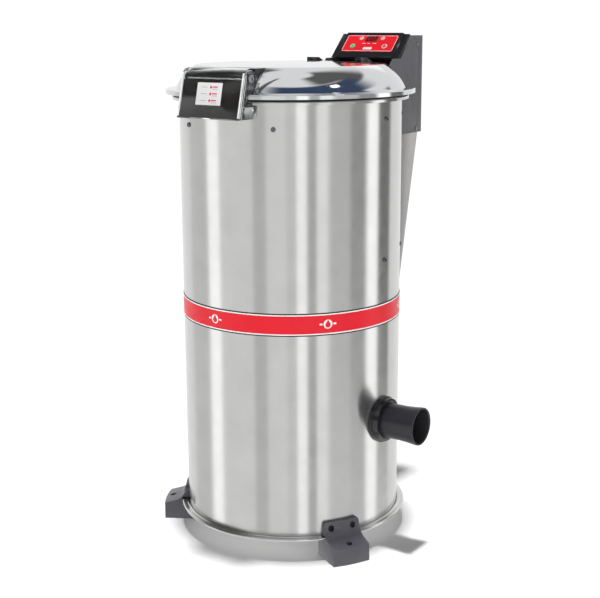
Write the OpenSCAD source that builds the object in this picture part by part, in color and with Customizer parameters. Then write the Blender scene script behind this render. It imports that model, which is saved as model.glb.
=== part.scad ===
// Free-standing spin dryer: a stainless drum on three bolt-down feet, with a
// domed lid hinged on a rear control column, a clear latch flap at the front
// and a rubber drain spout at the side. Millimetres, +Z up. The origin is on
// the floor under the drum's axis; the front is -Y and the spout points to +X.

/* [Drum] */
// Outer radius of the drum
drum_r = 215; // [200:1:230]
// Sheet thickness of the drum and its pressings
sheet = 1.5; // [1:0.1:2]
// Height of the base pan above the floor
base_z = 40; // [36:1:44]
// Height of the drum's top rim above the floor
rim_z = 870; // [860:1:900]
// Width of the red trim band
band_h = 43; // [30:1:60]
// Height of the band's lower edge above the floor
band_z = 441; // [400:1:480]

/* [Lid] */
// Radius of the lid's flange
flange_r = 240; // [238:1:244]
// Height of the dome above its flange
dome_h = 48; // [40:1:50]
// Radius of the arc that forms the dome's shoulder
shoulder_r = 90; // [84:1:96]

/* [Latch] */
// Half of the latch flap's width
flap_hw = 70; // [60:1:74]
// Lean of the flap's face away from vertical
flap_lean = 14; // [10:1:16]
// Radius of the flap's rounded top edge about its pivot
flap_r = 18; // [17:0.5:20]
// Wall of the clear flap
flap_wall = 3; // [2.5:0.5:4]

/* [Column] */
// Half of the control column's width
column_hw = 82; // [82:1:86]
// Back face of the column
column_back = 373; // [365:1:385]
// Height of the column's top
column_top = 976; // [970:1:980]
// Height of the column's lower edge
column_low = 773; // [760:1:790]

/* [Control head] */
// Width of the bezel
bezel_w = 144; // [140:1:150]
// Height of the bezel along its slope
bezel_h = 71; // [68:1:74]
// Backward lean of the panel from vertical
panel_lean = 45; // [45:1:45]
// Travel of each key
key_travel = 0.5; // [0.3:0.1:0.5]

/* [Feet] */
// Width of a foot
foot_w = 76; // [66:1:80]
// Radius of the circle through the three floor anchor holes
anchor_r = 252; // [248:1:254]
// Radius of a floor anchor hole
anchor_hole_r = 6; // [4:0.5:7]

/* [Drain] */
// Height of the spout's centre above the floor
spout_z = 250.5; // [248:0.5:254]
// Bore radius of the rubber spout
spout_bore_r = 28; // [26:0.5:28]
// Distance of the spout's mouth from the drum's axis
spout_end = 301; // [285:1:310]

/* [Basket] */
// Outer radius of the spin basket
basket_r = 195; // [185:1:196]
// Height of the basket's floor above the machine's floor
basket_z = 262; // [260:1:270]
// Height of the basket's rim
basket_top = 856; // [840:1:858]
// Rows of large drain holes up the basket's wall
hole_rows = 3; // [2:1:4]

/* [Hidden] */

$fn = 96;
gap = 0.3;           // clearance between pieces of different bodies
fit = 0.05;          // radial running clearance on a pin or shaft

steel = "#c9cbcc";
mirror_steel = "#dcdfe2";
black = "#1d1c1f";
dark_grey = "#5f6065";
rubber_grey = "#3b3a40";
red = "#e8343c";

// Drum, rim and base
drum_in = drum_r - sheet;
rim_r = drum_r + 13;
pan_r = drum_r + 14;
drum_z = base_z + 2.4;

// Lid: the flange's underside and top, and the shoulder arc's centre
flange_z = rim_z + 10.8;
flange_top = flange_z + sheet;
shoulder_x = drum_r - 77.6;
shoulder_z = flange_top - 33;
crown_r = 5400;
crown_top = flange_top + dome_h;

// Lid hinge
hinge_y = 268;
hinge_z = 893;
hinge_pin_r = 5;
strap_x = 58;
strap_w = 14;

// Latch: the flap's pivot, the bar below it and the body between
pivot_y = -222;
pivot_z = 909;
pivot_r = 4;
flap_low = 839;
bar_y = -236;
bar_z = 864;
bar_r = 4;
flap_slot = [860, 889];
window_w = 114;
window_h = 42;
flap_front_y = -233.5;
flap_rear_y = -215;
flap_len = (pivot_z + flap_r * sin(flap_lean) - flap_low) / cos(flap_lean);

// Control head: the centre of the bezel's face and the layers behind it
panel_y = 289;
panel_z = 956.8;
bezel_t = 4.5;
slab_t = 8.7;
slab_h = 73;
membrane_w = 125;
membrane_h = 46;
membrane_t = 0.5;
membrane_u = 4.6;
display_w = 28;
display_h = 15.5;
display_u = 17.5;
key_small = 5;
key_big = 6.5;
key_up_x = -26;
key_start_x = -39;
key_upper_u = 19;
key_lower_u = -3.5;
tray_w = 140;
tray_h = 54;
tray_d = 40;
tray_wall = 2;
board_z = -bezel_t - slab_t - tray_wall - 2.2;
board_t = 1.6;

// Each key as [x, height up the slope, radius]
key_spots = [[key_up_x, key_upper_u, key_small], [-key_up_x, key_upper_u, key_small],
             [key_start_x, key_lower_u, key_big], [-key_start_x, key_lower_u, key_big]];

// Column: side outline in (Y, Z), with the notch that the control head sits on
column_front = 232;
notch_z = 930;
column_outline = [[column_front, column_low], [column_front, 914], [249, notch_z], [281, notch_z],
                  [281 + column_top - notch_z, column_top], [column_back, column_top],
                  [column_back, column_low]];

// Cable duct: straight behind the column and sloped towards the drum below it
duct_hw = 75;
duct_low = 95;
duct_foot = 222;
duct_back = 369;
duct_knee = 769;
duct_slope = (duct_back - duct_foot) / (duct_knee - duct_low);

// Motor and shaft
shaft_r = 10;
motor_r = 75;
motor_z = 80;
motor_top = 188;
motor_plate_z = 204;
bearing_r = 23.5;
bearing_h = 14;
mount_r = 172;

// Drum screws as [angle from the front, height]
screw_spots = [[-26.5, 820], [26.5, 820], [90, 831], [-90, 831], [120, 833],
               [-120, 833], [90, 566], [-90, 566], [120, 578], [-120, 578]];
screw_r = 2;

gland_angle = 155;
gland_z = 100;

// ---- helpers -------------------------------------------------------------

// Turns a shape drawn at the front (-Y) to an angle, counted towards +X
module at_angle(a) rotate([0, 0, a]) children();

// A cylinder that points outwards from the axis at the front
module radial(r, from, to, z)
  translate([0, -from, z]) rotate([90, 0, 0]) cylinder(r = r, h = to - from);

// Extrudes a (Y, Z) outline along X, half to each side
module slab_x(half)
  rotate([90, 0, 90]) translate([0, 0, -half]) linear_extrude(2 * half) children();

// A cylinder along X from x0 to x1 through the point (y, z)
module rod_x(r, x0, x1, y, z)
  translate([x0, y, z]) rotate([0, 90, 0]) cylinder(r = r, h = x1 - x0);

// The sloped panel's frame: X across, Y up the slope, Z out of its face
module on_panel()
  translate([0, panel_y, panel_z]) rotate([panel_lean, 0, 0]) children();

// A box on the panel, centred at (x, u), between two depths
module panel_box(w, h, z0, z1, x = 0, u = 0)
  translate([x - w / 2, u - h / 2, z0]) cube([w, h, z1 - z0]);

// A ring about the machine's axis
module ring(r0, r1, z0, z1)
  difference() {
    translate([0, 0, z0]) cylinder(r = r1, h = z1 - z0, $fn = 128);
    translate([0, 0, z0 - 1]) cylinder(r = r0, h = z1 - z0 + 2, $fn = 128);
  }

// A disc about the machine's axis
module disc(r, z0, z1) translate([0, 0, z0]) cylinder(r = r, h = z1 - z0);

// Both sides of the machine
module both_sides() {
  children();
  mirror([1, 0, 0]) children();
}

// ---- drum and base ---------------------------------------------------------

module screw_holes()
  for (s = screw_spots) at_angle(s[0]) radial(screw_r + 0.1, drum_r - 8, drum_r + 8, s[1]);

module drum_shell() color(steel)
  difference() {
    rotate_extrude($fn = 128) {
      translate([drum_in, drum_z]) square([sheet, rim_z - drum_z]);
      translate([drum_in, rim_z - sheet]) square([rim_r - drum_in, sheet]);
      translate([rim_r - sheet, rim_z - 7]) square([sheet, 7]);
    }
    screw_holes();
    at_angle(90) radial(34.6, drum_r - 20, drum_r + 20, spout_z);
    at_angle(gland_angle) radial(8.2, drum_r - 20, drum_r + 20, gland_z);
    at_angle(180) radial(9, drum_r - 20, drum_r + 20, 150);
  }

module base_pan() color(steel)
  difference() {
    rotate_extrude($fn = 128) {
      translate([0, base_z]) square([pan_r - 2, 2.2]);
      translate([pan_r - 2, base_z + 3]) circle(r = 2.4);
      translate([drum_r + 2.8, base_z + 4]) circle(r = 2.4);
    }
    for (a = [0:30:330]) rotate([0, 0, a]) translate([120, 0, base_z - 1]) cylinder(r = 9, h = 5);
    translate([0, 0, base_z - 1]) cylinder(r = 40, h = 5);
  }

module trim_band() color(red)
  ring(drum_r + 0.1, drum_r + 0.9, band_z, band_z + band_h);

module drum_screw()
  union() {
    radial(screw_r, drum_r - 4, drum_r + 1, 0);
    radial(4.6, drum_r + 0.2, drum_r + 2.4, 0);
  }

module drum_screws() color("#8d8f91")
  for (s = screw_spots) at_angle(s[0]) translate([0, 0, s[1]]) drum_screw();

module sump_tray() color(steel)
  difference() {
    rotate_extrude($fn = 128)
      polygon([[21.5, 247], [21.5, 226], [drum_in - 1.8, 213.4], [drum_in - 0.2, 213.4],
               [drum_in - 0.2, 230], [drum_in - 1.8, 230], [drum_in - 1.8, 215.1],
               [23.2, 227.8], [23.2, 247]]);
    at_angle(90) radial(34.6, drum_r - 20, drum_r + 20, spout_z);
  }

module mains_gland() color(black)
  at_angle(gland_angle) difference() {
    union() {
      radial(8, drum_r - 12, drum_r + 2, gland_z);
      radial(13, drum_r + 0.3, drum_r + 8, gland_z);
      radial(11, drum_r + 7, drum_r + 26, gland_z);
    }
    radial(4.5, drum_r - 20, drum_r + 40, gland_z);
  }

// ---- feet ------------------------------------------------------------------

// Section of a foot: a block under the base pan, a sloped shelf and a gusset
module foot_section()
  polygon([[200, 0], [266, 0], [266, 33.5], [239, 41], [231, 47], [224.5, 57],
           [221.5, 72.5], [drum_r + 0.3, 73], [drum_r + 0.3, base_z + 7],
           [pan_r + 0.7, base_z + 7], [pan_r + 0.7, base_z - 0.2], [200, base_z - 0.2]]);

// Front outline of a foot, with round top corners
module foot_outline(corner = 9)
  union() {
    translate([-foot_w / 2, -1]) square([foot_w, 74.5 - corner]);
    translate([-foot_w / 2 + corner, 60]) square([foot_w - 2 * corner, 13.5]);
    for (s = [-1, 1]) translate([s * (foot_w / 2 - corner), 73.5 - corner]) circle(r = corner);
  }

module foot() color(rubber_grey)
  difference() {
    intersection() {
      rotate_extrude($fn = 128) foot_section();
      translate([0, -190, 0]) rotate([90, 0, 0]) linear_extrude(90) foot_outline();
    }
    translate([0, -anchor_r, -1]) cylinder(r = anchor_hole_r, h = 60);
    for (s = [-1, 1]) translate([s * 23, 0, 60]) {
      radial(3, 200, 240, 0);
      radial(6, 219, 250, 0);
    }
  }

module foot_front_left() at_angle(-60) foot();
module foot_front_right() at_angle(60) foot();
module foot_rear() at_angle(180) foot();

module foot_screws() color("#34343a")
  for (a = [-60, 60, 180], s = [-1, 1]) at_angle(a) translate([s * 23, 0, 60]) {
    radial(2.9, 216, 219.2, 0);
    radial(5.5, 219.1, 222.1, 0);
  }

// ---- drain spout -----------------------------------------------------------

module spout() color(rubber_grey)
  translate([0, 0, spout_z]) rotate([0, 90, 0]) rotate_extrude()
    polygon([[spout_bore_r, 203], [34, 203], [34, 264], [34.8, 278], [36, 291],
             [37, spout_end - 1], [36, spout_end], [34, spout_end], [33, spout_end - 1.5],
             [31, 290], [29, 280], [spout_bore_r, 270]]);

module spout_collar() color(black)
  difference() {
    union() {
      intersection() {
        rod_x(45.5, 190, 240, 0, spout_z);
        ring(drum_r + 0.2, drum_r + 5.5, spout_z - 60, spout_z + 60);
      }
      rod_x(42, 213, 228, 0, spout_z);
    }
    rod_x(34.15, 180, 260, 0, spout_z);
    translate([0, 0, spout_z - 60]) cylinder(r = drum_r + 0.2, h = 120, $fn = 128);
  }

// ---- motor -----------------------------------------------------------------

module motor_brackets() color(steel)
  for (a = [30, 150, 270]) rotate([0, 0, a]) difference() {
    intersection() {
      union() {
        translate([150, -22, 186]) cube([70, 44, 4]);
        translate([150, -22, 150]) cube([70, 3, 37]);
      }
      disc(drum_in - 0.1, 140, 200);
    }
    translate([mount_r, 0, 180]) cylinder(r = 6, h = 20);
  }

module motor_mounts() color(black)
  for (a = [30, 150, 270]) rotate([0, 0, a]) translate([mount_r, 0, 190.1]) difference() {
    cylinder(r = 16, h = 13.7);
    translate([0, 0, -1]) cylinder(r = 5, h = 20);
  }

module motor_plate() color(steel)
  difference() {
    union() {
      disc(105, motor_plate_z, motor_plate_z + 4);
      for (a = [30, 150, 270]) rotate([0, 0, a]) {
        translate([60, -20, motor_plate_z]) cube([mount_r - 60, 40, 4]);
        translate([mount_r, 0, motor_plate_z]) cylinder(r = 20, h = 4);
      }
    }
    disc(30, 200, 212);
    for (a = [30, 150, 270]) rotate([0, 0, a]) translate([mount_r, 0, 200]) cylinder(r = 5.2, h = 12);
  }

module motor_body() color("#4d5a66")
  union() {
    ring(motor_r - 6, motor_r, motor_z + 0.1, motor_top - 0.1);
    for (a = [0:15:345]) rotate([0, 0, a])
      translate([motor_r - 1, -1.2, motor_z + 4]) cube([8, 2.4, motor_top - motor_z - 8]);
  }

module motor_top_shield() color("#9a9ea2")
  difference() {
    union() {
      disc(motor_r + 6, motor_top, motor_plate_z - 0.1);
      disc(29.5, motor_plate_z - 1, motor_plate_z + 6);
    }
    disc(shaft_r + 2, 170, 220);
    disc(bearing_r + 0.05, motor_top - 1, motor_top + bearing_h);
  }

module motor_bottom_shield() color("#9a9ea2")
  difference() {
    disc(motor_r + 2, motor_z - 16, motor_z);
    disc(shaft_r + 2, 50, 90);
    disc(bearing_r + 0.05, motor_z - 13, motor_z + 1);
  }

module motor_stator() color("#8a5a3a") ring(42, motor_r - 6.1, 98, 172);
module motor_rotor() color("#a0a0a2") ring(shaft_r, 41.2, 98, 172);

module fan_cover() color(black)
  difference() {
    disc(motor_r + 1, 47, motor_z - 16.2);
    disc(motor_r - 1, 49, motor_z);
    for (a = [0:30:330]) rotate([0, 0, a]) translate([45, 0, 40]) cylinder(r = 7, h = 15);
  }

module motor_fan() color(black)
  union() {
    ring(shaft_r, 18, 51, 61);
    for (a = [0:45:315]) rotate([0, 0, a]) translate([17, -1, 51]) cube([48, 2, 10]);
  }

module bearing(z) color("#b8babc") ring(shaft_r + fit, bearing_r, z, z + bearing_h - 1);
module upper_bearing() bearing(motor_top + 0.5);
module lower_bearing() bearing(motor_z - 12.8);
module shaft_seal() color(black) ring(shaft_r + fit, 21.4, 234, 242);
module drive_shaft() color("#b9bbbd") disc(shaft_r, 50.5, 285);

// ---- spin basket -----------------------------------------------------------

module basket() color(steel)
  difference() {
    rotate_extrude($fn = 128) {
      translate([17.2, basket_z]) square([basket_r - 17.2, 2]);
      translate([basket_r - sheet, basket_z]) square([sheet, basket_top - 6 - basket_z]);
      translate([basket_r + 0.5, basket_top - 4]) circle(r = 4);
    }
    for (row = [0:hole_rows - 1], a = [0:45:135]) rotate([0, 0, a + 22.5 * (row % 2)])
      rod_x(5, -basket_r - 5, basket_r + 5, 0, basket_z + 80 + row * 480 / hole_rows);
  }

module basket_hub() color("#aeb1b4")
  difference() {
    union() {
      disc(60, basket_z - 9, basket_z - 0.1);
      disc(24.5, basket_z - 14, basket_z - 1);
      disc(17, basket_z - 1, basket_z + 23);
    }
    disc(shaft_r, 240, 300);
  }

module basket_nut() color(steel)
  difference() {
    translate([0, 0, basket_z + 2.1]) cylinder(r = 30, h = 18, $fn = 6);
    disc(17.1, basket_z, basket_z + 30);
  }

module shaft_bolt() color(steel)
  union() {
    disc(15, basket_z + 23.1, basket_z + 26);
    translate([0, 0, basket_z + 25.5]) cylinder(r = 10, h = 7, $fn = 6);
  }

// ---- lid -------------------------------------------------------------------

// Space under the dome's skin, drawn inset millimetres inside its outer face
module dome_section(inset)
  intersection() {
    union() {
      translate([shoulder_x, shoulder_z]) circle(r = shoulder_r - inset, $fn = 128);
      translate([0, flange_z - 5]) square([shoulder_x, 80]);
    }
    translate([0, crown_top - crown_r]) circle(r = crown_r - inset, $fn = 1440);
    translate([0, flange_z - 5]) square([flange_r, 80]);
  }

module dome_solid(grow)
  rotate_extrude($fn = 128) {
    intersection() {
      dome_section(-grow);
      translate([0, flange_z]) square([flange_r, 80]);
    }
    translate([0, flange_z - 8]) square([flange_r + grow, flange_top + grow - flange_z + 8]);
  }

module lid_dome() color(mirror_steel)
  rotate_extrude($fn = 128) {
    difference() {
      intersection() {
        dome_section(0);
        translate([0, flange_z]) square([flange_r, 80]);
      }
      dome_section(sheet);
    }
    translate([drum_r + 5, flange_z]) square([flange_r - drum_r - 5, sheet]);
    translate([flange_r - sheet, flange_z - 7.3]) square([sheet, 8]);
  }

module lid_gasket() color(black)
  ring(drum_r + 3, drum_r + 13, rim_z + 0.5, flange_z - 0.1);

module strap_outline()
  union() {
    translate([hinge_y, hinge_z]) circle(r = 12);
    polygon([[hinge_y, 885.2], [230, 885.2], [212, 884], [152, 925], [152, 934.8],
             [176, 934.2], [196, 925.5], [212, 908.5], [226, 900.5], [hinge_y, 900.5]]);
  }

module lid_hinge_straps() color(black)
  both_sides() difference() {
    translate([strap_x, 0, 0]) slab_x(strap_w / 2) strap_outline();
    dome_solid(0.1);
    rod_x(hinge_pin_r + fit, 40, 80, hinge_y, hinge_z);
  }

module hinge_pin() color("#b9bbbd") rod_x(hinge_pin_r, -79.5, 79.5, hinge_y, hinge_z);

module hinge_washers() color("#9a7b3c")
  both_sides() difference() {
    rod_x(11, 65.3, 73.2, hinge_y, hinge_z);
    rod_x(hinge_pin_r + 0.1, 60, 80, hinge_y, hinge_z);
  }

module sensor_magnet() color(black)
  difference() {
    translate([-14, 224.5, flange_top + 0.1]) cube([28, 12, 6]);
    dome_solid(0.1);
  }

module lid_sensor() color(black)
  translate([-20, 276, 866]) cube([40, 15.8, 18]);

// ---- latch -----------------------------------------------------------------

// Outline frame of the flap: X down its face from the pivot, Y into the flap
module on_flap() translate([pivot_y, pivot_z]) rotate(-90 - flap_lean) children();

// A layer behind or before the flap's face, from depth d0 to d1 inside it
module flap_layer(from, to, d0, d1)
  on_flap() translate([from, -flap_r + d0]) square([to - from, d1 - d0]);

// Points of an arc about the flap's pivot
function pivot_arc(r, a0, a1, n) =
  [for (i = [0:n]) let (a = a0 + (a1 - a0) * i / n) [pivot_y + r * cos(a), pivot_z + r * sin(a)]];

// A point on the flap's face plane: depth inside it, and distance down from the pivot
function face_point(depth, down) =
  [pivot_y - (flap_r - depth) * cos(flap_lean) - down * sin(flap_lean),
   pivot_z + (flap_r - depth) * sin(flap_lean) - down * cos(flap_lean)];

// Face and rounded top edge of the flap
module flap_skin()
  polygon(concat(pivot_arc(flap_r, 60, 180 - flap_lean, 12),
                 [face_point(0, flap_len), face_point(flap_wall, flap_len)],
                 pivot_arc(flap_r - flap_wall, 180 - flap_lean, 60, 12)));

// Side wall of the flap, stepped back to clear the lid's flange and the rim
module flap_side()
  polygon(concat(pivot_arc(flap_r, -50, 180 - flap_lean, 24),
                 [face_point(0, flap_len), [flap_rear_y, flap_low], [flap_rear_y, flap_slot[0]],
                  [flap_front_y, flap_slot[0]], [flap_front_y, flap_slot[1]],
                  [flap_rear_y, flap_slot[1]]]));

module latch_cover() color("#cfd6da", 0.4)
  difference() {
    union() {
      slab_x(flap_hw - flap_wall) flap_skin();
      both_sides() translate([flap_hw - flap_wall / 2, 0, 0]) slab_x(flap_wall / 2) flap_side();
    }
    rod_x(pivot_r + fit, -90, 90, pivot_y, pivot_z);
  }

module latch_panel() color(black)
  slab_x(flap_hw - flap_wall - 0.5) flap_layer(6, flap_len - 3, flap_wall + 0.2, flap_wall + 1.6);

module latch_label() color("white")
  translate([-3, 0, 0]) slab_x(28) flap_layer(12, 52, -0.4, 0);

module latch_bar() color(steel) rod_x(bar_r, -flap_hw + flap_wall, flap_hw - flap_wall, bar_y, bar_z);

module latch_stops() color(black)
  both_sides() rod_x(5, 54, flap_hw - flap_wall, -243, 846);

module latch_body() color(black)
  difference() {
    slab_x(flap_hw - flap_wall - 0.5) union() {
      translate([pivot_y, pivot_z]) circle(r = flap_r - flap_wall - 2.2);
      polygon([[-236, flange_top], [-236, 893], [-229, 899], [pivot_y, pivot_z],
               [-203, pivot_z + 4], [-203, 926], [-120, 926], [-120, flange_top]]);
    }
    dome_solid(0.1);
    both_sides() rod_x(pivot_r + fit, 56, 80, pivot_y, pivot_z);
  }

module latch_pivots() color(steel)
  both_sides() union() {
    rod_x(pivot_r, 56.5, flap_hw + 1, pivot_y, pivot_z);
    rod_x(7, flap_hw + gap, flap_hw + 3.5, pivot_y, pivot_z);
  }

module latch_keeper() color(steel)
  union() {
    intersection() {
      ring(drum_r + 0.1, drum_r + 2.1, 836, 858);
      translate([-22, -230, 830]) cube([44, 60, 40]);
    }
    translate([-22, -231.4, 850]) cube([44, 15, 2.5]);
  }

// ---- control column --------------------------------------------------------

module column_cover() color(dark_grey)
  difference() {
    slab_x(column_hw) polygon(column_outline);
    translate([-column_hw + sheet, 200, 700])
      cube([2 * (column_hw - sheet), column_back - sheet - 200, column_top - sheet - 700]);
    for (z = [column_low + 8, column_top - 18]) rod_x(2.1, -100, 100, column_back - 20, z);
  }

module column_screws() color(steel)
  both_sides() for (z = [column_low + 8, column_top - 18]) {
    rod_x(2, column_hw - 4, column_hw + 0.5, column_back - 20, z);
    rod_x(4, column_hw + 0.1, column_hw + 2.4, column_back - 20, z);
  }

module column_front_panel() color(dark_grey)
  translate([-73.2, 292, column_low]) cube([146.4, sheet, 908 - column_low]);

module cable_duct() color(steel)
  difference() {
    slab_x(duct_hw)
      polygon([[190, duct_low], [190, 860], [246, 860], [246, 906], [290, 906], [300, 896],
               [duct_back, 896], [duct_back, duct_knee], [duct_foot, duct_low]]);
    slab_x(duct_hw - sheet)
      polygon([[180, duct_low - 15], [180, 950], [duct_back - sheet, 950],
               [duct_back - sheet, duct_knee], [duct_foot - 15 * duct_slope - sheet, duct_low - 15]]);
    disc(drum_r + 1, 50, 900);
    rod_x(hinge_pin_r + fit, -90, 90, hinge_y, hinge_z);
  }

// A round cable through points in the plane x = 0
module cable(points, r) {
  for (i = [0:len(points) - 2]) {
    step = points[i + 1] - points[i];
    translate([0, points[i][0], points[i][1]]) {
      rotate([-atan2(step[0], step[1]), 0, 0]) cylinder(r = r, h = norm(step));
      sphere(r = 1.15 * r);
    }
  }
}

module wiring_cable() color(black)
  cable([[86, 150], [225, 150], [350, 742], [350, 860], [333, 912]], 4);

// ---- control head ----------------------------------------------------------

module control_housing() color(black)
  difference() {
    on_panel() difference() {
      union() {
        panel_box(2 * column_hw, slab_h, -bezel_t - slab_t, -bezel_t - 0.1);
        panel_box(tray_w, tray_h, -bezel_t - slab_t - tray_d, -bezel_t - slab_t + 1);
      }
      panel_box(tray_w - 2 * tray_wall, tray_h - 2 * tray_wall,
                -bezel_t - slab_t - tray_d + tray_wall, -bezel_t - slab_t - tray_wall);
      panel_box(window_w, window_h, -30, 1, 0, membrane_u);
    }
    translate([-100, 200, 900]) cube([200, 80, notch_z + 0.4 - 900]);
  }

module control_bezel() color(black)
  on_panel() difference() {
    translate([0, bezel_h / 2, 0]) rotate([90, 0, 0]) linear_extrude(bezel_h)
      polygon([[-bezel_w / 2, -bezel_t], [bezel_w / 2, -bezel_t],
               [bezel_w / 2 - bezel_t, 0], [-bezel_w / 2 + bezel_t, 0]]);
    panel_box(membrane_w + 0.6, membrane_h + 0.6, -0.6, 1, 0, membrane_u);
    panel_box(window_w, window_h, -10, 1, 0, membrane_u);
  }

module control_membrane() color(red)
  on_panel() difference() {
    panel_box(membrane_w, membrane_h, -0.6, -0.6 + membrane_t, 0, membrane_u);
    panel_box(display_w + 0.4, display_h + 0.4, -2, 2, 0, display_u);
    for (k = key_spots) translate([k[0], k[1], -3]) cylinder(r = k[2] + gap, h = 6);
  }

module display_window() color("#5a1016")
  on_panel() panel_box(display_w, display_h, -2.5, 0, 0, display_u);

module key(k)
  on_panel() translate([k[0], k[1], -3.5]) {
    cylinder(r = k[2], h = 3.5 + key_travel);
    cylinder(r = k[2] + 1.2, h = 1.5);
  }

module key_up() color("#e9e4e0") key(key_spots[0]);
module key_down() color("#e9e4e0") key(key_spots[1]);
module key_start() color("#4fae62") key(key_spots[2]);
module key_stop() color("#f0f0f0") key(key_spots[3]);

module control_board() color("#1f6b3a")
  on_panel() {
    panel_box(124, 46, board_z, board_z + board_t);
    panel_box(30, 14, board_z + 1, -3, 0, display_u);
    for (k = key_spots) translate([k[0], k[1], board_z + 1]) cylinder(r = 2.5, h = -4.2 - board_z - 1);
  }

drum_shell();
base_pan();
sump_tray();
spout();
spout_collar();
foot_front_left();
foot_front_right();
foot_rear();
foot_screws();
motor_brackets();
motor_mounts();
motor_plate();
motor_body();
motor_top_shield();
motor_bottom_shield();
motor_stator();
fan_cover();
upper_bearing();
lower_bearing();
shaft_seal();
drive_shaft();
motor_rotor();
motor_fan();
basket();
basket_hub();
basket_nut();
shaft_bolt();
trim_band();
drum_screws();
latch_keeper();
cable_duct();
column_cover();
column_front_panel();
column_screws();
hinge_pin();
hinge_washers();
lid_sensor();
control_housing();
control_bezel();
control_membrane();
display_window();
control_board();
key_up();
key_down();
key_start();
key_stop();
mains_gland();
wiring_cable();
lid_dome();
lid_gasket();
lid_hinge_straps();
latch_body();
latch_pivots();
sensor_magnet();
latch_cover();
latch_panel();
latch_label();
latch_bar();
latch_stops();
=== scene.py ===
"""Looks of a free-standing spin dryer: a brushed stainless drum under a polished domed lid.

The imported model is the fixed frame, and pieces take their places and main sizes from it. Wall
thicknesses, roundings and printed details are the classes' own fields. Sheet metal that is round
is turned by one Geometry Nodes tree, screws and perforations are set out by others, and folded
or moulded pieces are softened copies of the frame's own solids.
"""

import logging
import math
from dataclasses import dataclass, field
from enum import Enum
from typing import Sequence

import bmesh
import bpy
from mathutils import Matrix, Vector


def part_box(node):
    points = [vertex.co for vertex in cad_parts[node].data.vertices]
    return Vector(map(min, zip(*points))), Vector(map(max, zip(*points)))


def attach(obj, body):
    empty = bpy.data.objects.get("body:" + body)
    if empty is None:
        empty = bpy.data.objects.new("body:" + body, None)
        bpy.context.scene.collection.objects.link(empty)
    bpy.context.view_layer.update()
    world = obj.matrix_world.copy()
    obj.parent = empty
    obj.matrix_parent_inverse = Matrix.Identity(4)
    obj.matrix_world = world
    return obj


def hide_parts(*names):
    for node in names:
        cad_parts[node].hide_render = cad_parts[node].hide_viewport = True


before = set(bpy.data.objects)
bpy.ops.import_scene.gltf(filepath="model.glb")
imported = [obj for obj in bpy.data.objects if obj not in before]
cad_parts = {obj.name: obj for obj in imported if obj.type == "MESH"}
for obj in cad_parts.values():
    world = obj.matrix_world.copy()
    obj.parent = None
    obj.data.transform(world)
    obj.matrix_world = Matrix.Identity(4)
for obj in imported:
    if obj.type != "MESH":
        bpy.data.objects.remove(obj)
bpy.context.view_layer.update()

MM = 0.001
WELD = 2e-6
SMOOTH_ANGLE = math.radians(32)
FLAT_ANGLE = math.radians(0.6)
BEVEL_ANGLE = math.radians(38)
TURN_STEPS = 192
FINE_TURN_STEPS = 256
WHITE = (1.0, 1.0, 1.0, 1.0)
LOG = logging.getLogger("spin_dryer")

Piece = bpy.types.Object
Material = bpy.types.Material
Tree = bpy.types.NodeTree
Node = bpy.types.Node
Socket = bpy.types.NodeSocket
Outputs = bpy.types.NodeOutputs
Point = tuple[float, float]
Spots = Sequence[tuple[Vector, Vector]]
Colour = tuple[float, float, float, float]


class Slot(Enum):
    """The record's material slots."""

    DRUM_STEEL = "drum_steel"
    LID_STEEL = "lid_steel"
    INNER_STEEL = "inner_steel"
    ZINC_STEEL = "zinc_steel"
    SHAFT_STEEL = "shaft_steel"
    ROTOR_STEEL = "rotor_steel"
    CAST_ALUMINIUM = "cast_aluminium"
    MOTOR_PAINT = "motor_paint"
    COLUMN_PAINT = "column_paint"
    RED_TRIM = "red_trim"
    MEMBRANE_RED = "membrane_red"
    BLACK_PLASTIC = "black_plastic"
    FOOT_PLASTIC = "foot_plastic"
    SPOUT_RUBBER = "spout_rubber"
    SEAL_RUBBER = "seal_rubber"
    STRAP_PAINT = "strap_paint"
    BRONZE_WASHER = "bronze_washer"
    CLEAR_COVER = "clear_cover"
    LABEL_WHITE = "label_white"
    DISPLAY_RED = "display_red"
    BOARD_GREEN = "board_green"
    KEY_LIGHT = "key_light"
    KEY_GREEN = "key_green"


class Drive(Enum):
    """Recesses that a screw's head can have."""

    CROSS = "cross"
    HEX = "hex"


class Body(Enum):
    """The moving bodies of the frame."""

    MACHINE = "machine"
    BASKET = "spin_basket"
    LID = "lid"
    FLAP = "latch_flap"
    KEY_UP = "key_up"
    KEY_DOWN = "key_down"
    KEY_START = "key_start"
    KEY_STOP = "key_stop"


# ---- small tools ---------------------------------------------------------------------------


def linear(hex_colour: str) -> Colour:
    """Turn an sRGB hex colour into the linear RGBA that a shader reads.

    Args:
        hex_colour: A colour such as "#c8c9ca".

    Returns:
        Linear red, green, blue and an alpha of 1.
    """
    channels = [int(hex_colour[i:i + 2], 16) / 255 for i in (1, 3, 5)]
    light = [c / 12.92 if c <= 0.04045 else ((c + 0.055) / 1.055) ** 2.4 for c in channels]
    return (light[0], light[1], light[2], 1.0)


def add_node(tree: Tree, kind: str, links: dict | None = None, **settings: object) -> Node:
    """Add a node with its settings, and link or set its inputs.

    Args:
        tree: The tree that takes the node.
        kind: The node's type name.
        links: Input name or number to a socket to link from, or to a value.
        settings: Attributes of the node itself.

    Returns:
        The new node.
    """
    node = tree.nodes.new(kind)
    for name, value in settings.items():
        setattr(node, name, value)
    for key, value in (links or {}).items():
        if isinstance(value, Socket):
            tree.links.new(value, node.inputs[key])
        else:
            node.inputs[key].default_value = value
    return node


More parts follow.
